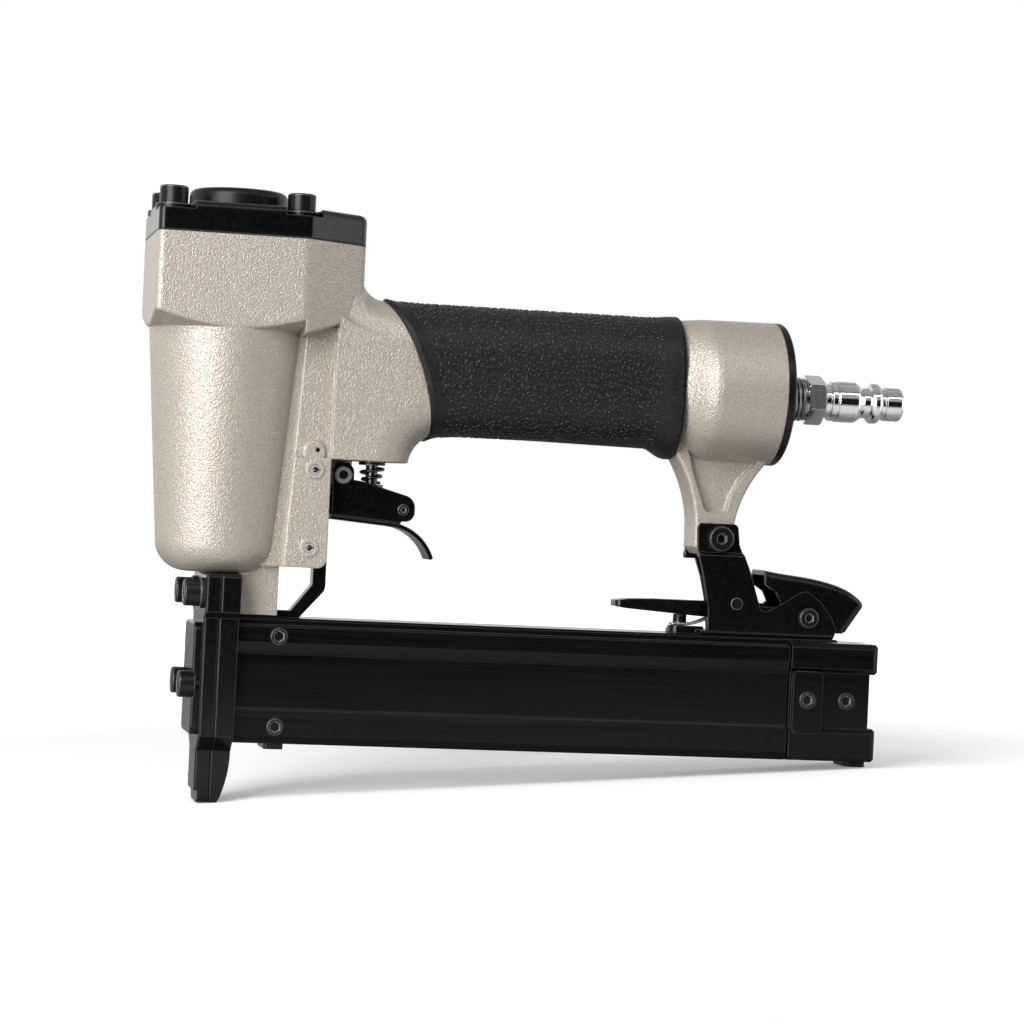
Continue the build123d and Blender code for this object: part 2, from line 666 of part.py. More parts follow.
def bumper():
    """Rubber ring that stops the piston."""
    low = LOWER_BORE_FLOOR
    return tube((0, 0, low), (0, 0, 1), LINER_BORE_R - 0.2, 5.0, BUMPER_TOP - low)


def piston():
    """Piston with a ring groove and a slot for the driver blade."""
    up = (0, 0, 1)
    body = rod((0, 0, PISTON_BOTTOM), up, LINER_BORE_R - 0.08, PISTON_TOP - PISTON_BOTTOM)
    body -= tube((0, 0, PISTON_BOTTOM + 3.9), up, 20.0, RING_GROOVE_R, 2.3)
    slot_x = BLADE_THICK / 2 + PLAY
    slot_y = BLADE_WIDTH / 2 + PLAY
    body -= block((-slot_x, slot_x), (-slot_y, slot_y), (PISTON_BOTTOM - 1.0, BLADE_TOP + PLAY))
    return body - rod((-20.0, 0, DRIVER_PIN_Z), (1, 0, 0), 1.0 + PLAY, 40.0)


def piston_ring():
    """Sealing ring in the piston's groove."""
    return tube((0, 0, PISTON_BOTTOM + 4.0), (0, 0, 1), LINER_BORE_R - 0.06, RING_GROOVE_R + PLAY, 2.1)


def driver_blade():
    """Flat blade that drives the fastener."""
    half_x = BLADE_THICK / 2
    half_y = BLADE_WIDTH / 2
    blade = block((-half_x, half_x), (-half_y, half_y), (BLADE_BOTTOM, BLADE_TOP))
    return blade - rod((-5.0, 0, DRIVER_PIN_Z), (1, 0, 0), 1.0 + PLAY, 10.0)


def driver_pin():
    """Pin that holds the blade in the piston."""
    return rod((-10.0, 0, DRIVER_PIN_Z), (1, 0, 0), 1.0, 20.0)


def head_valve():
    """Poppet over the liner, guided by its post in the cap."""
    up = (0, 0, 1)
    valve = rod((0, 0, HEAD_VALVE_BOTTOM), up, 18.0, HEAD_VALVE_TOP - HEAD_VALVE_BOTTOM)
    valve -= tube((0, 0, HEAD_VALVE_BOTTOM + 2.6), up, 25.0, 16.8, 2.2)
    return valve + rod((0, 0, HEAD_VALVE_TOP - 1.0), up, HEAD_POST_R, HEAD_POST_TOP - HEAD_VALVE_TOP + 1.0)


def head_valve_seal():
    """Rubber face of the head valve."""
    return tube((0, 0, LINER_TOP + ROOM), (0, 0, 1), 17.0, 6.0, HEAD_VALVE_BOTTOM - LINER_TOP - ROOM)


def head_valve_ring():
    """Sealing ring round the head valve."""
    return tube((0, 0, HEAD_VALVE_BOTTOM + 2.7), (0, 0, 1), UPPER_BORE_R - 0.06, 16.85, 2.0)


def head_valve_spring():
    """Space of the spring that closes the head valve, as a plain sleeve."""
    return tube((0, 0, HEAD_VALVE_TOP + PLAY), (0, 0, 1), 10.0, 8.0, CAP_BOTTOM - HEAD_VALVE_TOP - 2 * PLAY)


def grip_sleeve():
    """Rubber sleeve over the handle, cut to the neck in front and flared at the rear."""
    lip = 12.0
    wide_x = GRIP_REAR - 2.5
    wide_size = (HANDLE_WIDTH + GRIP_FLARE, HANDLE_HEIGHT + 2 * GRIP_FLARE)
    straight = handle_bar(40.0, GRIP_REAR - lip, HANDLE_WIDTH, HANDLE_HEIGHT)
    small = handle_section(GRIP_REAR - lip, HANDLE_WIDTH, HANDLE_HEIGHT, HANDLE_Z)
    wide = handle_section(wide_x, *wide_size, GRIP_FLARE_Z)
    end = handle_section(GRIP_REAR, wide_size[0] - 1.5, wide_size[1] - 1.5, GRIP_FLARE_Z)
    sleeve = straight + loft([small, wide], ruled=True) + loft([wide, end], ruled=True)
    sleeve -= grip_cut(NECK_EDGE_R + PLAY)
    sleeve -= handle_bar(30.0, 160.0, CORE_WIDTH + 2 * PLAY, CORE_HEIGHT + 2 * PLAY)
    return sleeve - boss_front(2 * PLAY)


def end_cap():
    """Cap in the rear of the handle, with a ring groove on its spigot and a threaded hole."""
    back = (1, 0, 0)
    cap = rod((BOSS_REAR, 0, BOSS_Z), back, BOSS_R, END_CAP)
    cap = fillet(cap.faces().sort_by(Axis.X)[-1].edges(), 1.1)
    spigot_front = BOSS_REAR - END_CAP_SPIGOT
    cap += rod((spigot_front, 0, BOSS_Z), back, BOSS_BORE_R - PLAY, END_CAP_SPIGOT)
    cap -= tube((spigot_front + 2.0, 0, BOSS_Z), back, 25.0, 16.9, 2.4)
    return cap - rod((spigot_front - 1.0, 0, PLUG_Z), back, THREAD_R + PLAY, 20.0)


def end_cap_seal():
    """Sealing ring on the end cap's spigot."""
    return tube((BOSS_REAR - END_CAP_SPIGOT + 2.1, 0, BOSS_Z), (1, 0, 0), BOSS_BORE_R - PLAY, 16.95, 2.2)


def air_plug():
    """Quick-release plug: pipe thread, hexagon, body, locking groove and nose, bored through."""
    steps = [
        (169.0, 5.0),
        (169.0, THREAD_R),
        (HEX_FRONT, THREAD_R),
        (HEX_FRONT, 7.0),
        (HEX_REAR, 7.0),
        (193.4, 5.5),
        (194.9, 5.5),
        (195.3, 6.3),
        (196.9, 6.4),
        (197.0, 6.1),
        (197.3, 6.1),
        (197.5, 6.6),
        (203.6, 6.6),
        (204.4, 6.2),
        (206.2, 4.9),
        (208.3, 4.9),
        (208.8, 6.0),
        (209.5, 6.5),
        (210.9, 6.5),
        (211.8, 6.1),
        (212.6, 4.9),
        (213.4, 4.9),
        (213.8, PLUG_TIP_R),
        (218.5, PLUG_TIP_R),
        (219.2, 5.1),
        (PLUG_TIP, 4.5),
        (PLUG_TIP, 2.9),
        (190.0, 2.9),
        (184.0, 5.0),
    ]
    axis = Axis((0, 0, PLUG_Z), (1, 0, 0))
    points = [(x, 0, PLUG_Z + r) for x, r in steps]
    plug = revolve(make_face(Polyline(*points, close=True)), axis)
    face = RegularPolygon(HEX_FLATS / sqrt(3), 6, rotation=HEX_TURN)
    hexagon = extrude(Plane.YZ.offset(HEX_FRONT) * Pos(0, PLUG_Z) * face, amount=HEX_REAR - HEX_FRONT)
    bevel = [
        (HEX_FRONT - 1.4, 0),
        (HEX_FRONT - 1.4, 6.2),
        (HEX_FRONT + 0.8, 8.4),
        (HEX_REAR - 0.8, 8.4),
        (HEX_REAR + 1.4, 6.2),
        (HEX_REAR + 1.4, 0),
    ]
    bevel = [(x, 0, PLUG_Z + r) for x, r in bevel]
    hexagon = hexagon & revolve(make_face(Polyline(*bevel, close=True)), axis)
    return plug + (hexagon - rod((180.0, 0, PLUG_Z), (1, 0, 0), 6.0, 20.0))


def valve_bush():
    """Bush of the trigger valve, pressed into the casting, with a flange that seats the spring."""
    up = (0, 0, 1)
    bush = rod((STEM_X, 0, VALVE_BLOCK_BOTTOM), up, BUSH_R, BUSH_TOP - VALVE_BLOCK_BOTTOM)
    bush += rod((STEM_X, 0, VALVE_BLOCK_BOTTOM - BUSH_FLANGE), up, BUSH_FLANGE_R, BUSH_FLANGE)
    bush -= rod((STEM_X, 0, VALVE_BLOCK_BOTTOM - 5.0), up, STEM_R + PLAY, 34.0)
    return bush - rod((STEM_X, 0, BUSH_TOP - 6.0), up, 3.4, 10.0)


def valve_stem():
    """Stem that the trigger pushes up, with a collar for the spring and a head that seals."""
    up = (0, 0, 1)
    stem = rod((STEM_X, 0, STEM_TIP), up, 1.5, 4.0)
    stem += rod((STEM_X, 0, STEM_COLLAR_Z), up, STEM_R, STEM_TOP - STEM_COLLAR_Z)
    stem += rod((STEM_X, 0, STEM_COLLAR_Z), up, STEM_COLLAR_R, 1.0)
    stem -= tube((STEM_X, 0, BUSH_TOP - 4.2), up, 5.0, 1.3, 1.4)
    return stem


def valve_stem_ring():
    """Sealing ring on the valve stem."""
    return tube((STEM_X, 0, BUSH_TOP - 4.15), (0, 0, 1), 3.3, 1.35, 1.3)


def spring_place(turn):
    """Point on the middle of the spring's wire and the direction there, after a number of turns.

    The radius grows evenly with the turns, and so does the height.
    """
    share = turn / SPRING_TURNS
    angle = 2 * pi * turn
    growth = (SPRING_TOP_R - SPRING_LOW_R) / SPRING_TURNS
    rise = (SPRING_TOP_Z - SPRING_LOW_Z) / SPRING_TURNS
    radius = SPRING_LOW_R + growth * turn
    point = Vector(
        STEM_X + radius * cos(angle),
        radius * sin(angle),
        SPRING_LOW_Z + (SPRING_TOP_Z - SPRING_LOW_Z) * share,
    )
    along = Vector(
        growth * cos(angle) - 2 * pi * radius * sin(angle),
        growth * sin(angle) + 2 * pi * radius * cos(angle),
        rise,
    )
    return point, along.normalized()


def biarc(start, start_along, end, end_along):
    """Two arcs that meet smoothly between two points with given directions."""
    chord = end - start
    spread = start_along + end_along
    across = start_along.dot(end_along) - 1
    middle = chord.dot(spread)
    length = chord.dot(chord)
    if abs(across) < 1e-9:
        reach = length / (2 * middle)
    else:
        reach = (middle - sqrt(middle * middle - 2 * across * length)) / (2 * across)
    first = start + start_along * reach
    second = end - end_along * reach
    joint = (first + second) * 0.5
    return [
        TangentArc(start, joint, tangent=start_along),
        TangentArc(joint, end, tangent=second - first),
    ]


def spring_path():
    """Centre line of the trigger spring, in quarter turns."""
    quarter = 0.25
    arcs = []
    for step in range(round(SPRING_TURNS / quarter)):
        start, start_along = spring_place(step * quarter)
        end, end_along = spring_place((step + 1) * quarter)
        arcs += biarc(start, start_along, end, end_along)
    return Wire([arc.edge() for arc in arcs])


def spring_gap():
    """Least gap between neighbouring turns of the spring."""
    per_turn = 72
    count = round(SPRING_TURNS * per_turn)
    places = [spring_place(index / per_turn)[0] for index in range(count + 1)]
    least = 100.0
    for index, place in enumerate(places):
        for other in places[index + per_turn // 2:]:
            least = min(least, (other - place).length)
    return least - 2 * SPRING_WIRE_R


def trigger_spring():
    """Conical wire spring between the valve bush and the stem's collar."""
    point, along = spring_place(0)
    path = spring_path()
    wire = sweep(Plane(origin=point, z_dir=along) * Circle(SPRING_WIRE_R), path=path)
    print("spring gap", round(spring_gap(), 3))
    return wire


def trigger_tail(half):
    """Curved tail of the trigger, a thinner strip that goes on from its bottom plate."""
    slope = (TRIGGER_BEND[0] - TRIGGER_FRONT, TRIGGER_BEND[1] - TRIGGER_FLOOR)
    start = (TRIGGER_BEND[0] - 1.0, TRIGGER_BEND[1] - slope[1] / slope[0])
    path = Line(start, TRIGGER_BEND) + TangentArc(TRIGGER_BEND, TRIGGER_TAIL, tangent=slope)
    strip = trace(path, line_width=TAIL_SHEET)
    tail = extrude(Plane.XZ.offset(-half) * strip, amount=2 * half)
    return fillet(near(tail.edges().filter_by(Axis.Y), (TRIGGER_TAIL[0], 0, TRIGGER_TAIL[1]), 2), TAIL_END_R)


def trigger():
    """Trigger folded from sheet: two side plates, a bottom plate with round folds, a curved tail."""
    inner = TRIGGER_HALF - TRIGGER_SHEET
    drop = (TRIGGER_FLOOR - TRIGGER_BEND[1]) / (TRIGGER_BEND[0] - TRIGGER_FRONT)
    under = TRIGGER_SHEET / 2
    ear_top = PIVOT_Z + TRIGGER_EAR_RISE
    ear_rear = PIVOT_X + TRIGGER_EAR
    outline = [
        (TRIGGER_FRONT, TRIGGER_FLOOR - under),
        (TRIGGER_FRONT, ear_top),
        (ear_rear, ear_top),
        (ear_rear, 101.3),
        (43.4, 101.0),
        (TRIGGER_REAR, 96.4),
        (TRIGGER_REAR, 89.1),
        (56.2, 89.0),
        (55.4, TRIGGER_BEND[1] - under - 0.3),
        (TRIGGER_BEND[0], TRIGGER_BEND[1] - under),
    ]
    body = slab(outline, -TRIGGER_HALF, TRIGGER_HALF)
    rounds = (
        (TRIGGER_FRONT, ear_top, 1.0),
        (ear_rear, ear_top, 3.3),
        (TRIGGER_REAR, 96.4, 4.0),
        (TRIGGER_REAR, 89.1, 3.0),
    )
    for x, z, radius in rounds:
        body = fillet(near(body.edges().filter_by(Axis.Y), (x, 0, z), 1), radius)
    long_fold = (TRIGGER_FRONT + TRIGGER_BEND[0]) / 2
    fold_z = TRIGGER_FLOOR - under
    folds = [near(body.edges(), (long_fold, side * TRIGGER_HALF, fold_z), 1)[0] for side in (-1, 1)]
    body = fillet(folds, 1.9)
    far = 20.0
    floor = [
        (TRIGGER_FRONT - far, TRIGGER_FLOOR + under + drop * far),
        (TRIGGER_BEND[0] + far, TRIGGER_BEND[1] + under - drop * far),
        (TRIGGER_BEND[0] + far, PIVOT_Z + far),
        (TRIGGER_FRONT - far, PIVOT_Z + far),
    ]
    folded = body - slab(floor, -inner, inner) + trigger_tail(inner)
    for x, z, r in ((PIVOT_X, PIVOT_Z, PIVOT_R), (CROSS_PIN_X, CROSS_PIN_Z, CROSS_PIN_R)):
        folded -= rod((x, -20.0, z), (0, 1, 0), r + PLAY, 40.0)
    return folded


def trigger_contact_plate():
    """Plate inside the trigger that lifts the valve stem."""
    inner = TRIGGER_HALF - TRIGGER_SHEET - PLAY
    return block((42.6, 53.0), (-inner, inner), (CONTACT_TOP - 1.6, CONTACT_TOP))


def headed_pin(x, z, shank_r, head_r, head, dimple_r):
    """Pin across the trigger with a dimpled head on each side."""
    seat = TRIGGER_HALF + PLAY
    pin = rod((x, -seat - head / 2, z), (0, 1, 0), shank_r, 2 * seat + head)
    cap = rod((x, -seat - head, z), (0, 1, 0), head_r, head)
    cap = chamfer(cap.edges().filter_by(GeomType.CIRCLE).sort_by(Axis.Y)[0], 0.25)
    return pin + both_sides(cap) - both_sides(rod((x, -seat - head, z), (0, 1, 0), dimple_r, 0.8 * head))


def trigger_pivot_pin():
    """Pin that the trigger turns on."""
    return headed_pin(PIVOT_X, PIVOT_Z, PIVOT_R, 2.75, 1.2, 1.35)


def trigger_cross_pin():
    """Pin through the rear of the trigger's side plates."""
    return headed_pin(CROSS_PIN_X, CROSS_PIN_Z, CROSS_PIN_R, 1.85, 0.6, 0.8)


def stay_strap():
    """Strap from the web down to the magazine, with a thin tongue forward under the casting's foot."""
    foot_z = MAG_TOP + PLAY
    tongue_z = FOOT_BOTTOM - 2 * PLAY
    tongue_rear = FOOT_REAR + 3 * PLAY
    outline = [
        (STAY_FRONT, WEB_BOTTOM + 0.6),
        (STAY_LEG_FRONT, WEB_BOTTOM + 0.6),
        (STAY_LEG_FRONT, 68.2),
        (23.4, foot_z + 2.1),
        (tongue_rear, foot_z + 2.1),
        (tongue_rear, tongue_z),
        (FOOT_FRONT, tongue_z),
        (FOOT_FRONT, foot_z),
        (26.2, foot_z),
        (STAY_REAR, 66.6),
        (STAY_REAR, STAY_TOP),
        (STAY_FRONT, STAY_TOP),
    ]
    strap = slab(outline, -STAY_HALF, STAY_HALF)
    strap = fillet(near(strap.edges().filter_by(Axis.Y), (STAY_LEG_FRONT, 0, 68.2), 1), 2.0)
    strap = fillet(near(strap.edges().filter_by(Axis.Y), (STAY_REAR, 0, 66.6), 1), STAY_HEEL_R)
    for x, z in ROLL_PINS:
        strap -= rod((x, -10.0, z), (0, 1, 0), ROLL_PIN_R + PLAY, 20.0)
    return strap


def roll_pins():
    """Two slotted spring pins through the web."""
    reach = PAD_HALF + 0.3
    pins = []
    for x, z in ROLL_PINS:
        pin = tube((x, -reach, z), (0, 1, 0), ROLL_PIN_R, 0.85, 2 * reach)
        pins.append(pin - block((x, x + 3.0), (-20.0, 20.0), (z - 0.25, z + 0.25)))
    return Compound(children=pins)


def nose_outline():
    """Stepped front view of the nose: wide top, waist, narrow tip with cut corners."""
    half = [
        (7.4, 0),
        (9.0, 1.6),
        (9.0, 16.0),
        (15.7, 20.9),
        (15.7, 57.1),
        (19.0, 58.9),
        (19.0, NOSE_TOP - 1.0),
        (18.0, NOSE_TOP),
    ]
    other = [(-y, z) for y, z in reversed(half)]
    return make_face(Polyline(*half, *other, close=True))


def nose_holes(front, rear):
    """Holes of the four nose screws between two values of x."""
    holes = []
    for y, z in (NOSE_SCREW_UPPER, NOSE_SCREW_LOWER):
        for side in (-1, 1):
            holes.append(rod((front - 1.0, side * y, z), (1, 0, 0), M5_R + PLAY, rear - front + 2.0))
    return holes


def above_tip(edges):
    """The edges that aren't on the flat end of the nose."""
    return edges.filter_by(lambda edge: edge.center().Z > 0.1)


def nose_front_plate():
    """Front half of the nose, with its half of the blade's channel and a set-back tip."""
    plate = extrude(Plane.YZ.offset(NOSE_FRONT) * nose_outline(), amount=-NOSE_FRONT)
    plate = chamfer(above_tip(plate.faces().sort_by(Axis.X)[-1].edges()), PARTING_EDGE)
    plate = chamfer(plate.faces().sort_by(Axis.X)[0].edges(), 0.5)
    plate -= block((NOSE_FRONT - 1.0, NOSE_FRONT + 1.1), (-20.0, 20.0), (-1.0, 3.7))
    plate -= block((-CHANNEL_X, 1.0), (-CHANNEL_Y, CHANNEL_Y), (-1.0, NOSE_TOP + 1.0))
    for hole in nose_holes(NOSE_FRONT, 0):
        plate -= hole
    return plate


def nose_rear_plate():
    """Rear half of the nose: feed window, tapered tip and the lugs that hold the magazine."""
    plate = extrude(Plane.YZ * nose_outline(), amount=NOSE_REAR)
    plate = chamfer(above_tip(plate.faces().sort_by(Axis.X)[0].edges()), PARTING_EDGE)
    tip = 2.6
    taper = ThreePointArc((NOSE_REAR, 17.5), (5.2, 8.0), (tip, 0))
    behind = NOSE_REAR + 1.0
    taper += Polyline((tip, 0), (tip, -1.0), (behind, -1.0), (behind, 17.5), (NOSE_REAR, 17.5))
    plate -= extrude(Plane.XZ * make_face(taper), amount=20.0, both=True)
    plate -= block((-1.0, CHANNEL_X), (-CHANNEL_Y, CHANNEL_Y), (-1.0, NOSE_TOP + 1.0))
    plate -= block((-1.0, NOSE_REAR + 1.0), (-SLOT_HALF - 0.1, SLOT_HALF + 0.1), (26.0, 53.0))
    for low, high in ((49.4, 53.9), (21.7, 26.8)):
        lug = block((NOSE_REAR - 1.0, 24.0), (RAIL_HALF + ROOM, MAG_CAVITY[0] - ROOM), (low, high))
        plate += both_sides(lug)
    for z in MAG_SCREW_Z:
        for side in (-1, 1):
            plate -= rod((MAG_SCREW_X, side * 4.0, z), (0, side, 0), SMALL_SCREW_R + PLAY, 10.0)
    for hole in nose_holes(0, NOSE_REAR):
        plate -= hole
    for side in (-1, 1):
        plate -= mount_screw(side, PLAY)
    return plate


def nose_cover_plate():
    """Cover plate on the front of the nose with rounded corners and spot-faced screw seats."""
    low, high, half = 21.0, 55.5, 13.0
    plate = block((NOSE_FRONT - COVER_PLATE, NOSE_FRONT), (-half, half), (low, high))
    plate = soften(plate, Axis.X, 3.0)
    plate = chamfer(plate.faces().sort_by(Axis.X)[0].edges(), 0.4)
    y, z = NOSE_SCREW_LOWER
    for side in (-1, 1):
        seat = (NOSE_FRONT - COVER_PLATE + COVER_SPOT_FACE, side * y, z)
        plate -= rod((NOSE_FRONT - 10.0, side * y, z), (1, 0, 0), M5_R + PLAY, 20.0)
        plate -= rod(seat, (-1, 0, 0), M5_HEAD_R + ROOM, 5.0)
    return plate


def nose_screws():
    """Four socket-head screws that clamp the two halves of the nose."""
    screws = []
    into = (1, 0, 0)
    for side in (-1, 1):
        y, z = NOSE_SCREW_UPPER
        seat = NOSE_FRONT - NOSE_WASHER
        length = NOSE_REAR - seat - PLAY
        screws.append(socket_screw((seat, side * y, z), into, M5_R, length, M5_HEAD_R, M5_HEAD, M5_KEY))
        y, z = NOSE_SCREW_LOWER
        seat = NOSE_FRONT - COVER_PLATE + COVER_SPOT_FACE
        length = NOSE_REAR - seat - PLAY
        screws.append(socket_screw((seat, side * y, z), into, M5_R, length, M5_HEAD_R, M5_HEAD, M5_KEY))
    return Compound(children=screws)


def mount_screw(side, room):
    """Countersunk screw that holds the nose's rear half to the casting, grown by some room."""
    y, z = MOUNT_SCREW
    sunk = M4_HEAD_R - M4_R
    start = PARTING_EDGE - room
    screw = rod((start, side * y, z), (1, 0, 0), M4_R + room, MOUNT_SCREW_END + 2 * room - start)
    cone = Cone(M4_HEAD_R + room, M4_R + room, sunk, align=BASE)
    head = Plane(origin=(start, side * y, z), z_dir=(1, 0, 0)) * cone
    return screw + head


def nose_mount_screws():
    """Two countersunk screws from the nose's rear half into the casting's foot."""
    return Compound(children=[mount_screw(side, 0.0) for side in (-1, 1)])


def nose_washers():
    """Spring washers under the upper nose screws."""
    y, z = NOSE_SCREW_UPPER
    seat = NOSE_FRONT - NOSE_WASHER
    places = [(seat, side * y, z) for side in (-1, 1)]
    return Compound(children=[ring(place, (1, 0, 0), 4.7, M5_R + PLAY, NOSE_WASHER) for place in places])


def magazine_section():
    """Section of the magazine: two ribbed beads, a waist between them and a raised top."""
    half = [
        (9.8, MAG_TOP),
        (10.4, 57.1),
        (10.4, 55.5),
        (12.5, 55.5),
        (MAG_HALF, 55.0),
        (MAG_HALF, 50.2),
        (12.0, 47.2),
        (MAG_WAIST_HALF, 46.6),
        (MAG_WAIST_HALF, 30.1),
        (12.0, 29.4),
        (MAG_HALF, 27.0),
        (MAG_HALF, 21.6),
        (11.4, MAG_BOTTOM),
    ]
    other = [(-y, z) for y, z in reversed(half)]
    return make_face(Polyline(*half, *other, close=True))


def magazine_housing():
    """Fixed channel of the magazine, open at the front and the rear, with a strip over the end cover."""
    half, floor, ceiling = MAG_CAVITY
    housing = extrude(Plane.YZ.offset(MAG_FRONT) * magazine_section(), amount=MAG_REAR - MAG_FRONT)
    strip = block((MAG_REAR - 1.0, STRIP_REAR), (-10.4, 10.4), (COVER_TOP + 0.15, MAG_TOP))
    housing += chamfer(strip.faces().sort_by(Axis.Z)[-1].edges(), 0.4)
    housing -= block((MAG_FRONT - 1.0, MAG_REAR + 1.0), (-half, half), (floor, ceiling))
    for z in MAG_SCREW_Z:
        for side in (-1, 1):
            housing -= rod((MAG_SCREW_X, side * 5.0, z), (0, side, 0), SMALL_SCREW_R + PLAY, 10.0)
            housing -= rod((MAG_SCREW_X, side * SMALL_SEAT, z), (0, side, 0), SMALL_HEAD_R + HEAD_ROOM, 10.0)
    for x in BRACKET_SCREW_X:
        housing -= rod((x, 0, MAG_TOP + 1.0), (0, 0, -1), SMALL_SCREW_R + PLAY, 10.0)
    return housing


def magazine_screws():
    """Four socket-head screws that hold the magazine to the nose, their heads a little proud."""
    screws = []
    length = SMALL_SEAT - 5.9
    for z in MAG_SCREW_Z:
        for side in (-1, 1):
            seat = (MAG_SCREW_X, side * SMALL_SEAT, z)
            into = (0, -side, 0)
            screws.append(socket_screw(seat, into, SMALL_SCREW_R, length, SMALL_HEAD_R, 2.5, SMALL_KEY))
    return Compound(children=screws)


def magazine_stop_block():
    """Small block under the front of the magazine."""
    return soften(block((16.4, 22.4), (-8.0, 8.0), (17.0, MAG_BOTTOM)), Axis.Z, 1.0)


def magazine_rail():
    """Sliding rail that holds the fasteners, slotted for the pusher."""
    rail = block((RAIL_FRONT, RAIL_REAR), (-RAIL_HALF, RAIL_HALF), (RAIL_BOTTOM, RAIL_TOP))
    rail -= block((RAIL_FRONT - 1.0, COVER_FRONT), (-SLOT_HALF, SLOT_HALF), (ROD_Z, RAIL_TOP + 1.0))
    rail -= rod((RAIL_FRONT + 2.0, 0, ROD_Z), (1, 0, 0), ROD_BORE_R, COVER_FRONT - RAIL_FRONT - 2.0)
    rail -= rod((RAIL_FRONT + 1.0, 0, ROD_Z), (1, 0, 0), ROD_R + PLAY, 200.0)
    for side in (-1, 1):
        rail -= rod((COVER_SCREW_X[0], side * 2.0, COVER_SCREW_Z), (0, side, 0), SMALL_SCREW_R + PLAY, 10.0)
    return rail


def pusher():
    """Pusher blade that presses the fasteners forward, on a foot that runs on the rod."""
    blade_half = SLOT_HALF - 0.15
    length = (PUSHER_FRONT, PUSHER_FRONT + PUSHER_LENGTH)
    blade = block(length, (-blade_half, blade_half), (ROD_Z + 1.6, RAIL_TOP - 1.0))
    shoe = rod((PUSHER_FRONT + 2.0, 0, ROD_Z), (1, 0, 0), ROD_BORE_R - 0.15, 16.0)
    return blade + shoe - rod((0, 0, ROD_Z), (1, 0, 0), ROD_R + PLAY, 60.0)


def pusher_rod():
    """Round rod that the pusher and its spring run on."""
    front = RAIL_FRONT + 1.0 + PLAY
    return rod((front, 0, ROD_Z), (1, 0, 0), ROD_R, ROD_REAR - PLAY - front)


def pusher_spring():
    """Space of the long spring behind the pusher, as a plain sleeve."""
    front = PUSHER_FRONT + PUSHER_LENGTH + PLAY
    return tube((front, 0, ROD_Z), (1, 0, 0), 2.2, 1.3, COVER_FRONT - front - PLAY)


def cover_section(waist_half, low, high):
    """Section of the magazine's end cover between two heights, with cut corners."""
    cut = 1.6
    half = [
        (waist_half - cut, high),
        (waist_half, high - cut),
        (waist_half, low + cut),
        (waist_half - cut, low),
    ]
    other = [(-y, z) for y, z in reversed(half)]
    return make_face(Polyline(*half, *other, close=True))


def cover_bead(low, high):
    """One of the end cover's two beads, rounded at its rear end."""
    length = COVER_REAR - COVER_FRONT
    bead = extrude(Plane.YZ.offset(COVER_FRONT) * cover_section(MAG_HALF, low, high), amount=length)
    upright = bead.edges().filter_by(Axis.Z).filter_by(lambda edge: edge.center().X > COVER_REAR - 0.1)
    bead = fillet(upright, 3.0)
    return chamfer(bead.faces().sort_by(Axis.X)[-1].edges(), 0.8)


def magazine_end_cover():
    """End cover of the sliding rail: two beads, a raised pad and a recess for the rear screws."""
    waist = block((COVER_FRONT, COVER_WAIST_REAR), (-MAG_WAIST_HALF, MAG_WAIST_HALF), (27.0, 49.0))
    pad = soften(block((184.0, 193.8), (-PAD_Y, PAD_Y), (27.6, 47.4)), Axis.Y, 2.0)
    cover = cover_bead(46.9, COVER_TOP) + cover_bead(MAG_BOTTOM, 29.6) + waist + pad
    rail_half = RAIL_HALF + PLAY
    rail_space = (RAIL_BOTTOM - PLAY, RAIL_TOP + PLAY)
    cover -= block((COVER_FRONT - 1.0, RAIL_REAR + PLAY), (-rail_half, rail_half), rail_space)
    cover -= rod((COVER_FRONT, 0, ROD_Z), (1, 0, 0), ROD_R + PLAY, ROD_REAR - COVER_FRONT)
    for x, seat in zip(COVER_SCREW_X, COVER_SEATS):
        for side in (-1, 1):
            cover -= rod((x, side * 3.0, COVER_SCREW_Z), (0, side, 0), SMALL_SCREW_R + PLAY, 20.0)
            cover -= rod((x, side * seat, COVER_SCREW_Z), (0, side, 0), SMALL_HEAD_R + HEAD_ROOM, 20.0)
    return cover


def end_cover_screws():
    """Four socket-head screws in the sides of the end cover."""
    screws = []
    for x, seat in zip(COVER_SCREW_X, COVER_SEATS):
        for side in (-1, 1):
            place = (x, side * seat, COVER_SCREW_Z)
            length = seat - 3.2
            into = (0, -side, 0)
            screws.append(socket_screw(place, into, SMALL_SCREW_R, length, SMALL_HEAD_R, 1.7, SMALL_KEY))
    return Compound(children=screws)


def rear_foot():
    """Rubber foot under the end cover."""
    return soften(block((204.4, 211.4), (-7.0, 7.0), (REAR_FOOT_BOTTOM, MAG_BOTTOM)), Axis.Z, 2.0)


def bracket_ear():
    """Side outline of the bracket, from the leg bolt down to the magazine and back to the pivot."""
    return [
        (151.4, 93.1),
        (164.7, 93.1),
        (165.5, 86.5),
        (168.9, 78.5),
        (173.0, 66.2),
        (174.6, 65.7),
        (178.5, 67.6),
        (186.1, 72.5),
        (188.2, 72.8),
        (192.7, 69.7),
        (196.5, 65.0),
        (198.4, 61.0),
        (197.4, MAG_TOP),
        (155.9, MAG_TOP),
        (155.6, 66.8),
        (153.4, 77.6),
        (152.0, EAR_STEP),
    ]


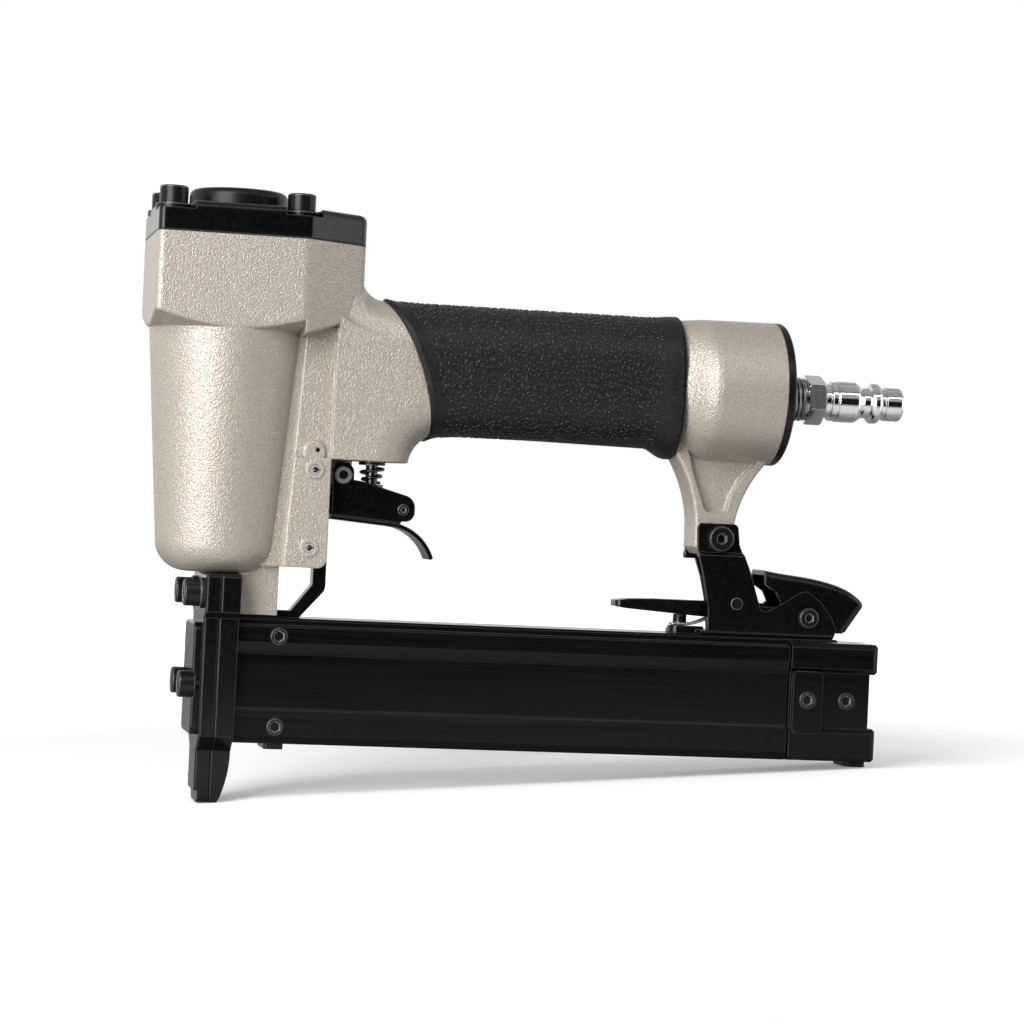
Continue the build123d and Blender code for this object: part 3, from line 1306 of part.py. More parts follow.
def latch_bracket():
    """Folded sheet bracket on the magazine: base plate, two ears bolted to the leg, rear cheeks."""
    outline = bracket_ear()
    cheek = slab(outline, -CHEEK_OUT, SHEET - CHEEK_OUT)
    ear = slab(outline, -EAR_OUT, SHEET - EAR_OUT)
    for x, z, radius in ((151.4, 93.1, 1.6), (164.7, 93.1, 1.6)):
        ear = fillet(near(ear.edges().filter_by(Axis.Y), (x, -EAR_OUT, z), 1), radius)
    above = block((140.0, 200.0), (-20.0, 20.0), (EAR_STEP, 100.0))
    step = block((140.0, 200.0), (-CHEEK_OUT, SHEET - EAR_OUT), (EAR_STEP, EAR_STEP + SHEET))
    step = step & slab(outline, -CHEEK_OUT, SHEET - EAR_OUT)
    long_edges = step.edges().filter_by(lambda edge: edge.length > 8.0)
    ledge = near(long_edges, (158.0, -CHEEK_OUT, EAR_STEP + SHEET), 1)
    side = (ear & above) + (cheek - above) + chamfer(ledge, 0.9)
    base = block((153.5, 197.4), (-CHEEK_OUT, CHEEK_OUT), (MAG_TOP, MAG_TOP + SHEET))
    tab = block((TAB_FRONT, 155.9), (-4.5, 4.5), (MAG_TOP, MAG_TOP + TAB))
    tab = fillet(near(tab.edges().filter_by(Axis.Z), (TAB_FRONT, 0, MAG_TOP), 2), 3.0)
    bracket = both_sides(side) + base + tab
    fold = bracket.edges().filter_by(Axis.X).filter_by(lambda edge: edge.length > 30.0)
    fold = fold.filter_by(lambda edge: edge.center().Z < MAG_TOP + 0.1)
    fold = fold.filter_by(lambda edge: abs(edge.center().Y) > CHEEK_OUT - 0.1)
    bracket = fillet(fold, 1.3)
    bracket -= slab(FAR_EAR_CUT, 0, 20.0)
    bracket -= rod((LEG_BOLT_X, -20.0, LEG_BOLT_Z), (0, 1, 0), M5_R + PLAY, 40.0)
    bracket -= rod((LATCH_X, -20.0, LATCH_Z), (0, 1, 0), LATCH_PIN_R + PLAY, 40.0)
    bracket -= rod((STUD_X, -20.0, STUD_Z), (0, 1, 0), 1.3 + PLAY, 40.0)
    for x in BRACKET_SCREW_X:
        bracket -= rod((x, 0, MAG_TOP - 1.0), (0, 0, 1), SMALL_SCREW_R + PLAY, 5.0)
    return bracket


def bracket_screws():
    """Two socket-head screws that hold the bracket on the magazine, the front one over the leaf spring."""
    screws = []
    seats = (MAG_TOP + TAB + LEAF + 2 * PLAY, MAG_TOP + SHEET)
    for x, seat, head in zip(BRACKET_SCREW_X, seats, (2.6, 1.4)):
        screws.append(socket_screw((x, 0, seat), (0, 0, -1), SMALL_SCREW_R, seat - 54.4, 2.2, head, 2.0))
    return Compound(children=screws)


def leg_bolt():
    """Socket-head bolt through the bracket and the leg."""
    length = 2 * EAR_OUT + 4.5
    return socket_screw((LEG_BOLT_X, -EAR_OUT, LEG_BOLT_Z), (0, 1, 0), M5_R, length, 4.1, 3.2, 3.0)


def leg_nut():
    """Nut on the leg bolt."""
    plane = Plane(origin=(LEG_BOLT_X, EAR_OUT, LEG_BOLT_Z), z_dir=(0, 1, 0))
    nut = plane * extrude(RegularPolygon(8.0 / sqrt(3), 6, rotation=30), amount=4.0)
    return nut - rod((LEG_BOLT_X, 0, LEG_BOLT_Z), (0, 1, 0), M5_R + PLAY, 30.0)


def latch_lever():
    """Sprung latch: a round-edged hood over the pivot and a finger tongue towards the trigger."""
    crown = Spline((174.6, 78.9), (183.5, 77.7), (190.8, 76.8), (198.1, 75.2), (204.4, 72.6), (208.4, 69.0))
    side = Polyline(
        (208.4, 69.0),
        (202.7, 60.4),
        (200.6, 59.6),
        (183.0, 60.4),
        (181.0, 66.0),
        (179.4, 70.0),
        (178.4, 72.0),
        (174.6, 74.4),
        (174.6, 78.9),
    )
    hood = extrude(Plane.XZ * make_face(crown + side), amount=LEVER_HALF, both=True)
    hood = fillet(near(hood.edges().filter_by(Axis.Y), (208.4, 0, 69.0), 1), 1.6)
    crest = hood.edges().filter_by(GeomType.BSPLINE)
    hood = fillet(crest, LEVER_EDGE_R)
    hollow = [
        (165.0, 77.5),
        (174.6, 77.3),
        (183.4, 76.2),
        (190.5, 75.3),
        (197.7, 73.7),
        (203.6, 71.2),
        (206.0, 69.0),
        (200.4, 50.0),
        (165.0, 50.0),
    ]
    inner = LEVER_HALF - SHEET
    hood -= slab(hollow, -inner, inner)
    drop = 5.0
    tongue_outline = [
        (TONGUE_TIP, TONGUE_TOP - 0.9),
        (TONGUE_TIP + 4.0, TONGUE_TOP - 0.3),
        (TONGUE_TIP + 12.0, TONGUE_TOP),
        (TONGUE_REAR, TONGUE_TOP),
        (TONGUE_REAR, TONGUE_TOP - drop - 0.8),
        (154.0, TONGUE_TOP - drop),
        (TONGUE_TIP + 3.4, TONGUE_TOP - 3.4),
        (TONGUE_TIP, TONGUE_TOP - 2.8),
    ]
    tongue = slab(tongue_outline, -TONGUE_HALF, TONGUE_HALF)
    tongue = fillet(near(tongue.edges().filter_by(Axis.Z), (TONGUE_TIP, 0, 66.0), 2), 2.0)
    channel = TONGUE_HALF - SHEET
    tongue -= block((TONGUE_TIP + 4.0, 190.0), (-channel, channel), (50.0, TONGUE_TOP - SHEET))
    arm_height = (TONGUE_TOP - SHEET - 1.0, TONGUE_TOP - 1.0)
    arm = block((170.0, LATCH_X + 4.0), (-LEVER_HALF, LEVER_HALF), arm_height)
    arm -= block((TONGUE_REAR, 200.0), (SHEET - LEVER_HALF, LEVER_HALF - SHEET), (50.0, 80.0))
    lever = hood + tongue + arm
    return lever - rod((LATCH_X, -20.0, LATCH_Z), (0, 1, 0), LATCH_PIN_R + PLAY, 40.0)


def latch_pivot_screw():
    """Screw that the latch turns on, riveted over on the far side."""
    length = 2 * CHEEK_OUT + 1.5
    screw = socket_screw((LATCH_X, -CHEEK_OUT, LATCH_Z), (0, 1, 0), LATCH_PIN_R, length, 3.2, 1.8, 2.5)
    return screw + rod((LATCH_X, CHEEK_OUT, LATCH_Z), (0, 1, 0), 3.0, 1.5)


def latch_stop_studs():
    """Riveted studs in the bracket's ears that stop the latch."""
    stud = rod((STUD_X, -CHEEK_OUT - 0.6, STUD_Z), (0, 1, 0), 1.3, 3.4)
    stud += rod((STUD_X, -CHEEK_OUT - 0.6, STUD_Z), (0, 1, 0), 1.9, 0.6 - PLAY)
    return Compound(children=[stud, mirror(stud, about=Plane.XZ)])


def latch_spring():
    """Leaf spring under the latch's tongue, held by the bracket's front screw."""
    low = MAG_TOP + TAB + PLAY + LEAF / 2
    high = TONGUE_TOP - SHEET - PLAY - LEAF / 2
    leaf = trace(Polyline((146.2, low), (153.0, low), (158.0, low + 2.4), (167.0, high)), line_width=LEAF)
    leaf = extrude(Plane.XZ * leaf, amount=2.6, both=True)
    return leaf - rod((BRACKET_SCREW_X[0], 0, MAG_TOP), (0, 0, 1), SMALL_SCREW_R + PLAY, 5.0)


PARTS = [
    body_casting, cap_plate, cap_gasket, cap_screws, cap_washers, exhaust_deflector, deflector_screw,
    cylinder_liner, liner_gasket, bumper, piston, piston_ring, driver_blade, driver_pin,
    head_valve, head_valve_seal, head_valve_ring, head_valve_spring,
    grip_sleeve, end_cap, end_cap_seal, air_plug,
    valve_bush, valve_stem, valve_stem_ring, trigger, trigger_contact_plate, trigger_pivot_pin,
    trigger_cross_pin, trigger_spring, stay_strap, roll_pins,
    nose_front_plate, nose_rear_plate, nose_cover_plate, nose_screws, nose_mount_screws, nose_washers,
    magazine_housing, magazine_screws, magazine_stop_block, magazine_rail, magazine_end_cover,
    end_cover_screws, rear_foot, pusher, pusher_rod, pusher_spring,
    latch_bracket, bracket_screws, leg_bolt, leg_nut, latch_lever, latch_pivot_screw,
    latch_stop_studs, latch_spring,
]

os.makedirs("parts", exist_ok=True)
for maker in PARTS:
    shape = maker()
    export_step(shape, f"parts/{maker.__name__}.step")
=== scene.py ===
import math

import bmesh
import bpy
import numpy as np
from mathutils import Matrix, Vector


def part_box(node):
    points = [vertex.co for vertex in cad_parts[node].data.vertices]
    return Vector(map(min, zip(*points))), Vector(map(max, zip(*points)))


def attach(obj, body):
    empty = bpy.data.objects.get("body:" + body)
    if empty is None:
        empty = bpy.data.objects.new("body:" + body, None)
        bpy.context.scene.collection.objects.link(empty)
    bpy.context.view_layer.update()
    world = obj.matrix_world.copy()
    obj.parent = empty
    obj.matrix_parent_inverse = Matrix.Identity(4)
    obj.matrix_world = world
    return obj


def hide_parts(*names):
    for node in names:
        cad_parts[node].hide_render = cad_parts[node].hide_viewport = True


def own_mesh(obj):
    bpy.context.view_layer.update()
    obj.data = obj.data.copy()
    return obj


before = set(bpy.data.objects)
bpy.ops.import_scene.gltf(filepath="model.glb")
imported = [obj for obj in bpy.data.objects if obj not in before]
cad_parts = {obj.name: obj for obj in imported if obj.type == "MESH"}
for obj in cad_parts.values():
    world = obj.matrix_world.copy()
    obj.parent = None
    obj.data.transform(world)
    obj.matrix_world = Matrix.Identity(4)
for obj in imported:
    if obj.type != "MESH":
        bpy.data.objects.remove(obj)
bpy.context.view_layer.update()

# Main casting: barrel, collar, neck, rear boss and leg are one light-alloy casting. It is sprayed
# with a fine hammered champagne paint, and everything else is bolted or pinned to it.
CHAMPAGNE_LIGHT = (0.43, 0.382, 0.328, 1.0)
CHAMPAGNE_DARK = (0.35, 0.308, 0.262, 1.0)
HAMMER_PER_METRE = 1900.0
HAMMER_DETAIL = 0.5
HAMMER_TWIST = 0.7
HAMMER_HEIGHT = 0.00022
HAMMER_STRENGTH = 1.0
CAST_EDGE_RADIUS = 0.0007


def new_finish(name):
    """Node material with a Principled shader: gives the material, its nodes, its links and the shader."""
    finish = bpy.data.materials.new(name)
    finish.use_nodes = True
    tree = finish.node_tree
    return finish, tree.nodes, tree.links, tree.nodes["Principled BSDF"]


def grain(nodes, links, per_metre, detail=2.0, stretch=(1.0, 1.0, 1.0), twist=0.0):
    """Grey noise on the piece's own coordinates, with a number of features per metre, that may be twisted."""
    place = nodes.new("ShaderNodeTexCoord")
    mapping = nodes.new("ShaderNodeMapping")
    mapping.inputs["Scale"].default_value = stretch
    noise = nodes.new("ShaderNodeTexNoise")
    noise.inputs["Scale"].default_value = per_metre
    noise.inputs["Detail"].default_value = detail
    noise.inputs["Distortion"].default_value = twist
    links.new(place.outputs["Object"], mapping.inputs["Vector"])
    links.new(mapping.outputs["Vector"], noise.inputs["Vector"])
    return noise.outputs["Fac"]


def between(nodes, links, grey, low_colour, high_colour, low=0.35, high=0.65):
    """Colour that runs from one tone to another as a grey value rises."""
    ramp = nodes.new("ShaderNodeValToRGB")
    first, second = ramp.color_ramp.elements
    first.position, first.color = low, low_colour
    second.position, second.color = high, high_colour
    links.new(grey, ramp.inputs["Fac"])
    return ramp.outputs["Color"]


def spread(nodes, links, grey, values):
    """Number that runs between a pair of values as a grey value rises from 0.3 to 0.7."""
    span = nodes.new("ShaderNodeMapRange")
    span.inputs["From Min"].default_value = 0.3
    span.inputs["From Max"].default_value = 0.7
    span.inputs["To Min"].default_value = values[0]
    span.inputs["To Max"].default_value = values[1]
    links.new(grey, span.inputs["Value"])
    return span.outputs["Result"]


def emboss(nodes, links, shader, grey, height, strength, edge_radius):
    """Raises the surface by a grey value, over edges that are rounded by a small radius."""
    bevel = nodes.new("ShaderNodeBevel")
    bevel.samples = 4
    bevel.inputs["Radius"].default_value = edge_radius
    bump = nodes.new("ShaderNodeBump")
    bump.inputs["Distance"].default_value = height
    bump.inputs["Strength"].default_value = strength
    links.new(bevel.outputs["Normal"], bump.inputs["Normal"])
    links.new(grey, bump.inputs["Height"])
    links.new(bump.outputs["Normal"], shader.inputs["Normal"])


def dress(finish, *names):
    """Gives solids of the frame one finish."""
    for name in names:
        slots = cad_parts[name].data.materials
        slots.clear()
        slots.append(finish)


hammered_paint, nodes, links, shader = new_finish("hammered_champagne_paint")
hammer = grain(nodes, links, HAMMER_PER_METRE, HAMMER_DETAIL, twist=HAMMER_TWIST)
hammer_tone = between(nodes, links, hammer, CHAMPAGNE_DARK, CHAMPAGNE_LIGHT, low=0.36, high=0.62)
links.new(hammer_tone, shader.inputs["Base Color"])
links.new(spread(nodes, links, hammer, (0.38, 0.30)), shader.inputs["Roughness"])
shader.inputs["Metallic"].default_value = 0.30
shader.inputs["Specular IOR Level"].default_value = 1.0
emboss(nodes, links, shader, hammer, HAMMER_HEIGHT, HAMMER_STRENGTH, CAST_EDGE_RADIUS)
dress(hammered_paint, "body_casting")

# Cylinder parts: liner, piston, head valve and driver blade sit inside the barrel. The alloy ones
# are turned, which leaves fine rings round the driver axis, and the blade and its pin are ground.
TURNED_ALLOY = (0.62, 0.62, 0.63, 1.0)
TURNED_DARK = (0.50, 0.50, 0.51, 1.0)
GROUND_STEEL = (0.60, 0.60, 0.61, 1.0)
GROUND_DARK = (0.48, 0.48, 0.49, 1.0)
MARK_DETAIL = 3.0
MARK_HEIGHT = 0.00003


def metal_finish(name, light, dark, per_metre, stretch, rough, edge_radius, strength=0.15):
    """Bare metal with tool marks: noise drawn out along the cut, in tone, gloss and height."""
    finish, nodes, links, shader = new_finish(name)
    marks = grain(nodes, links, per_metre, MARK_DETAIL, stretch)
    links.new(between(nodes, links, marks, dark, light), shader.inputs["Base Color"])
    links.new(spread(nodes, links, marks, rough), shader.inputs["Roughness"])
    shader.inputs["Metallic"].default_value = 1.0
    emboss(nodes, links, shader, marks, MARK_HEIGHT, strength, edge_radius)
    return finish


turned_alloy = metal_finish(
    "turned_alloy", TURNED_ALLOY, TURNED_DARK, per_metre=2500.0, stretch=(0.05, 0.05, 1.0),
    rough=(0.28, 0.42), edge_radius=0.0002,
)
ground_steel = metal_finish(
    "ground_steel", GROUND_STEEL, GROUND_DARK, per_metre=1800.0, stretch=(1.0, 1.0, 0.05),
    rough=(0.22, 0.36), edge_radius=0.0001,
)
dress(turned_alloy, "cylinder_liner", "piston", "head_valve")
dress(ground_steel, "driver_blade", "driver_pin")

# Seals and bumper: moulded rubber rings and the flat gasket under the cap, all hidden inside or
# seen only as a thin dark line. The same kind of finish serves the black coated pieces below.
SEAL_BLACK = (0.010, 0.010, 0.010, 1.0)
SEAL_GREY = (0.022, 0.021, 0.020, 1.0)
# Edge tone of the black coats: partly wear on the edges, partly a painted highlight there.
WEAR_AND_HIGHLIGHT_RADIUS = 0.00035
RIM_STARTS = 0.985
RIM_FULL = 0.85


def wear_and_highlight_rim(nodes, links, radius):
    """Grey value that rises where a rounded normal leans off the flat one: edge wear and painted highlight.
    """
    bevel = nodes.new("ShaderNodeBevel")
    bevel.samples = 6
    bevel.inputs["Radius"].default_value = radius
    flat = nodes.new("ShaderNodeNewGeometry")
    lean = nodes.new("ShaderNodeVectorMath")
    lean.operation = "DOT_PRODUCT"
    links.new(bevel.outputs["Normal"], lean.inputs[0])
    links.new(flat.outputs["True Normal"], lean.inputs[1])
    rim = nodes.new("ShaderNodeMapRange")
    rim.inputs["From Min"].default_value = RIM_STARTS
    rim.inputs["From Max"].default_value = RIM_FULL
    links.new(lean.outputs["Value"], rim.inputs["Value"])
    return rim.outputs["Result"]


def wear_and_highlight(nodes, links, tone, wear_and_highlight_tone, radius):
    """Tone of a coat that turns lighter on its edges, partly from wear, partly as a painted highlight."""
    mix = nodes.new("ShaderNodeMix")
    mix.data_type = "RGBA"
    mix.inputs["B"].default_value = wear_and_highlight_tone
    links.new(wear_and_highlight_rim(nodes, links, radius), mix.inputs["Factor"])
    links.new(tone, mix.inputs["A"])
    return mix.outputs["Result"]


def dark_finish(name, dark, light, per_metre, detail, rough, height, strength, edge_radius, gloss, wear_and_highlight_tone=None):
    """Black coated or moulded surface: fine noise in tone, roughness and height, with one level of gloss.

    Where an edge tone is given, the edges turn to it: partly wear, partly a painted highlight.
    """
    finish, nodes, links, shader = new_finish(name)
    texture = grain(nodes, links, per_metre, detail)
    tone = between(nodes, links, texture, dark, light)
    if wear_and_highlight_tone:
        tone = wear_and_highlight(nodes, links, tone, wear_and_highlight_tone, WEAR_AND_HIGHLIGHT_RADIUS)
    links.new(tone, shader.inputs["Base Color"])
    links.new(spread(nodes, links, texture, rough), shader.inputs["Roughness"])
    shader.inputs["Specular IOR Level"].default_value = gloss
    emboss(nodes, links, shader, texture, height, strength, edge_radius)
    return finish


seal_rubber = dark_finish(
    "seal_rubber", SEAL_BLACK, SEAL_GREY, per_metre=1500.0, detail=2.0, rough=(0.55, 0.7),
    height=0.00005, strength=0.2, edge_radius=0.0002, gloss=0.3,
)
dress(
    seal_rubber, "bumper", "piston_ring", "head_valve_seal", "head_valve_ring", "end_cap_seal",
    "valve_stem_ring", "liner_gasket", "cap_gasket",
)

# Head valve spring: a coil of drawn wire inside the cap that holds the head valve down on the liner.
# In the tool it shortens when the valve lifts; this coil keeps one length.
VALVE_COIL_WIRE = 0.0006
VALVE_COIL_RADIUS = 0.0090
VALVE_COIL_TURNS = 3.25
COIL_STEPS = 48
COIL_SIDES = 10
POINT_MERGE = 1e-7
WIRE_GREY = (0.15, 0.15, 0.15, 1.0)
WIRE_DARK = (0.08, 0.08, 0.08, 1.0)
drawn_wire = metal_finish(
    "drawn_wire", WIRE_GREY, WIRE_DARK, per_metre=3000.0, stretch=(1.0, 1.0, 1.0),
    rough=(0.22, 0.36), edge_radius=0.0001,
)


def mesh_piece(name, points, faces, finish):
    """Smooth mesh piece from points and four-cornered faces, with points that fall together merged."""
    mesh = bpy.data.meshes.new(name)
    mesh.from_pydata(points.reshape(-1, 3).tolist(), [], faces.tolist())
    merged = bmesh.new()
    merged.from_mesh(mesh)
    bmesh.ops.remove_doubles(merged, verts=merged.verts, dist=POINT_MERGE)
    merged.to_mesh(mesh)
    merged.free()
    mesh.polygons.foreach_set("use_smooth", np.ones(len(mesh.polygons), dtype=bool))
    mesh.materials.append(finish)
    piece = bpy.data.objects.new(name, mesh)
    bpy.context.scene.collection.objects.link(piece)
    return piece


def piece_from_grid(name, points, close_u, close_v, finish):
    """Mesh piece from a grid of points (rows u, columns v), joined round where a direction is closed.

    The faces of a closed shape are turned outwards: their corner products, which add up to six times the
    volume inside, have to come out positive.
    """
    rows, columns = points.shape[:2]
    index = np.arange(rows * columns).reshape(rows, columns)
    if close_u:
        index = np.vstack([index, index[:1]])
    if close_v:
        index = np.hstack([index, index[:, :1]])
    quads = np.stack([index[:-1, :-1], index[:-1, 1:], index[1:, 1:], index[1:, :-1]], axis=-1).reshape(-1, 4)
    corners = (points - points.mean(axis=(0, 1))).reshape(-1, 3)[quads]
    volume = np.sum(corners[:, 0] * np.cross(corners[:, 1], corners[:, 2]))
    volume += np.sum(corners[:, 0] * np.cross(corners[:, 2], corners[:, 3]))
    if close_v and volume < 0.0:
        quads = quads[:, ::-1]
    return mesh_piece(name, points, quads, finish)


def closed_tube(path, rings):
    """Rings along a path, with the path's two end points added as rings that close the ends."""
    tips = np.repeat(path[[0, -1], None], rings.shape[1], axis=1)
    return np.concatenate([tips[:1], rings, tips[1:]])


def wire_coil(name, start, end, radii, turns, wire, finish):
    """Round wire wound about the straight line from start to end.

    The middle of the wire goes round that line evenly while its distance from it runs from the first of
    radii to the second. Each ring of the tube is a circle across the wire.
    """
    start, end = np.array(start), np.array(end)
    axis = (end - start) / np.linalg.norm(end - start)
    first = np.cross([0.0, 1.0, 0.0], axis)
    second = np.cross(axis, first)
    turn = np.linspace(0.0, turns, int(turns * COIL_STEPS) + 1)[:, None]
    share = turn / turns
    away = np.cos(2 * math.pi * turn) * first + np.sin(2 * math.pi * turn) * second
    path = start + share * (end - start) + (radii[0] + (radii[1] - radii[0]) * share) * away
    along = np.gradient(path, axis=0)
    along /= np.linalg.norm(along, axis=1, keepdims=True)
    away -= along * np.sum(away * along, axis=1, keepdims=True)
    away /= np.linalg.norm(away, axis=1, keepdims=True)
    across = np.cross(along, away)
    angle = np.linspace(0.0, 2 * math.pi, COIL_SIDES, endpoint=False)[None, :, None]
    rings = path[:, None] + wire * (np.cos(angle) * away[:, None] + np.sin(angle) * across[:, None])
    return piece_from_grid(name, closed_tube(path, rings), False, True, finish)


valve_low, valve_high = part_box("head_valve_spring")
valve_coil = wire_coil(
    "head_valve_coil",
    (0.0, 0.0, valve_low[2] + VALVE_COIL_WIRE),
    (0.0, 0.0, valve_high[2] - VALVE_COIL_WIRE),
    (VALVE_COIL_RADIUS, VALVE_COIL_RADIUS), VALVE_COIL_TURNS, VALVE_COIL_WIRE, drawn_wire,
)
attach(valve_coil, "tool_body")
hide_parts("head_valve_spring")
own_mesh(valve_coil)

# Cap and exhaust deflector: the cap is a die casting in satin black paint, held by the four screws.
# The deflector is a moulded disc that turns on one flat screw, and the end cap is moulded like it.
SATIN_BLACK = (0.0018, 0.0018, 0.0021, 1.0)
SATIN_BLACK_LIGHT = (0.0030, 0.0030, 0.0034, 1.0)
# Grey that the satin coats turn to on their edges: partly paint worn through, partly a painted highlight.
WEAR_AND_HIGHLIGHT_GREY = (0.060, 0.060, 0.063, 1.0)
satin_paint = dark_finish(
    "satin_black_paint", SATIN_BLACK, SATIN_BLACK_LIGHT, per_metre=700.0, detail=1.0, rough=(0.17, 0.22),
    height=0.00004, strength=0.05, edge_radius=0.0006, gloss=0.36, wear_and_highlight_tone=WEAR_AND_HIGHLIGHT_GREY,
)
moulded_black = dark_finish(
    "moulded_black", SATIN_BLACK, SATIN_BLACK_LIGHT, per_metre=900.0, detail=2.0, rough=(0.32, 0.40),
    height=0.00004, strength=0.08, edge_radius=0.0004, gloss=0.28,
)
dress(satin_paint, "cap_plate")
dress(moulded_black, "exhaust_deflector", "end_cap")

# Screws, washers, pins and the valve bush: black-oxide steel, slightly oily, with edges lighter,
# partly from wear and partly as a painted highlight.
# The plain roll pins are driven through the web behind the barrel. The trigger's pivot pin is bright grey
# steel up to its peened rim, with painted shade darkening its hollow end.
OXIDE = (0.012, 0.012, 0.013, 1.0)
OXIDE_LIGHT = (0.020, 0.020, 0.021, 1.0)
OXIDE_PER_METRE = 1200.0
OXIDE_WEAR_AND_HIGHLIGHT = (0.48, 0.48, 0.49, 1.0)
OXIDE_WEAR_AND_HIGHLIGHT_RADIUS = 0.0004
BRIGHT_STEEL = (0.64, 0.63, 0.62, 1.0)
BRIGHT_DARK = (0.52, 0.51, 0.50, 1.0)
BRIGHT_ROUGH = (0.42, 0.54)
PIN_PAINTED_SHADE_RADIUS = 0.0013
PIN_RIM_RADIUS = 0.0015
PIN_RIM = (0.26, 0.26, 0.27, 1.0)
black_oxide, nodes, links, shader = new_finish("black_oxide_steel")
oxide_marks = grain(nodes, links, OXIDE_PER_METRE, MARK_DETAIL)
oxide_tone = between(nodes, links, oxide_marks, OXIDE, OXIDE_LIGHT)
# Edges turn bright: partly wear, partly a painted highlight.
links.new(wear_and_highlight(nodes, links, oxide_tone, OXIDE_WEAR_AND_HIGHLIGHT, OXIDE_WEAR_AND_HIGHLIGHT_RADIUS), shader.inputs["Base Color"])
links.new(spread(nodes, links, oxide_marks, (0.28, 0.34)), shader.inputs["Roughness"])
shader.inputs["Metallic"].default_value = 0.7
emboss(nodes, links, shader, oxide_marks, MARK_HEIGHT, strength=0.02, edge_radius=0.0003)
dress(
    black_oxide, "cap_screws", "cap_washers", "deflector_screw", "nose_screws", "nose_mount_screws",
    "nose_washers", "magazine_screws", "end_cover_screws", "bracket_screws", "leg_bolt", "leg_nut",
    "latch_pivot_screw", "latch_stop_studs", "trigger_cross_pin", "valve_bush",
)
bright_steel = metal_finish(
    "bright_steel", BRIGHT_STEEL, BRIGHT_DARK, per_metre=1500.0, stretch=(1.0, 0.1, 1.0),
    rough=BRIGHT_ROUGH, edge_radius=0.0002, strength=0.03,
)
dress(bright_steel, "roll_pins")
# Pivot pin: a dark disc of painted shade over the hollow in each end, grey steel outside it.
pin_low, pin_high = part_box("trigger_pivot_pin")
pin_x = 0.5 * (pin_low[0] + pin_high[0])
pin_z = 0.5 * (pin_low[2] + pin_high[2])
pin_steel, nodes, links, shader = new_finish("pivot_pin_steel_painted_shade")
place = nodes.new("ShaderNodeTexCoord")
flattened = nodes.new("ShaderNodeMapping")
flattened.inputs["Location"].default_value = (-pin_x, 0.0, -pin_z)
flattened.inputs["Scale"].default_value = (1.0, 0.0, 1.0)
off_axis = nodes.new("ShaderNodeVectorMath")
off_axis.operation = "LENGTH"
rim = nodes.new("ShaderNodeMapRange")
rim.inputs["From Min"].default_value = PIN_PAINTED_SHADE_RADIUS
rim.inputs["From Max"].default_value = PIN_RIM_RADIUS
links.new(place.outputs["Object"], flattened.inputs["Vector"])
links.new(flattened.outputs["Vector"], off_axis.inputs[0])
links.new(off_axis.outputs["Value"], rim.inputs["Value"])
links.new(between(nodes, links, rim.outputs["Result"], OXIDE, PIN_RIM), shader.inputs["Base Color"])
pin_marks = grain(nodes, links, OXIDE_PER_METRE)
links.new(spread(nodes, links, pin_marks, BRIGHT_ROUGH), shader.inputs["Roughness"])
shader.inputs["Metallic"].default_value = 0.9
dress(pin_steel, "trigger_pivot_pin")

# Nose, stay strap and trigger: pressed and milled steel in the same satin black. The two nose plates
# meet on the driver axis, and the strap ties the web to the magazine.
dress(
    satin_paint, "nose_front_plate", "nose_rear_plate", "nose_cover_plate", "stay_strap", "trigger",
    "trigger_contact_plate", "magazine_stop_block",
)

# Trigger spring: a conical coil of drawn wire that sits between the valve bush and the collar of the
# stem, which is as dark as the wire. In the tool it shortens when the trigger lifts the stem; this coil
# keeps one length.
SPRING_TURNS = 2.25
SPRING_WIRE = 0.0005
SPRING_LOW_RADIUS = 0.00255
SPRING_TOP_RADIUS = 0.00375
spring_low, spring_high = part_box("trigger_spring")
stem_low, stem_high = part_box("valve_stem")
stem_x = 0.5 * (stem_low[0] + stem_high[0])
dress(drawn_wire, "valve_stem")
wire_spring = wire_coil(
    "trigger_wire_spring",
    (stem_x, 0.0, spring_low[2] + SPRING_WIRE),
    (stem_x, 0.0, spring_high[2] - SPRING_WIRE),
    (SPRING_LOW_RADIUS, SPRING_TOP_RADIUS), SPRING_TURNS, SPRING_WIRE, drawn_wire,
)
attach(wire_spring, "tool_body")
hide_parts("trigger_spring")
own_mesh(wire_spring)

# Grip: a moulded rubber sleeve pulled over the handle. Its front is cut to a curve against the neck,
# its rear swells into a lip, and raised grains cover it except for smooth borders at both ends.
GRIP_BLACK = (0.0085, 0.0085, 0.0090, 1.0)
GRIP_GREY = (0.0165, 0.0165, 0.0174, 1.0)
GRIP_RADIUS = 0.0155
GRIP_STRAIGHT = 0.0050
GRIP_MIDDLE = 0.1371
GRIP_WALL = 0.0029
NECK_CURVE_X = -0.0162
NECK_CURVE_Z = 0.1104
NECK_CURVE_RADIUS = 0.0801
FRONT_LIP = 0.0012
FRONT_LIP_LOW = 0.0014
FRONT_LIP_LENGTH = 0.0032
FRONT_LEAN = 0.0009
REAR_SWELL_LENGTH = 0.0110
REAR_FULL_LENGTH = 0.0020
REAR_SWELL_SIDE = 0.00115
REAR_SWELL_HEIGHT = 0.0023
REAR_DROP = 0.0015
LIP_ROUND = 0.0009
LIP_STEPS = 6
SLEEVE_ROWS = 110
SLEEVE_COLUMNS = 180
RUBBER_PER_METRE = 1300.0
RUBBER_DETAIL = 2.0
_, grip_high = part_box("grip_sleeve")
grip_rear = grip_high[0]


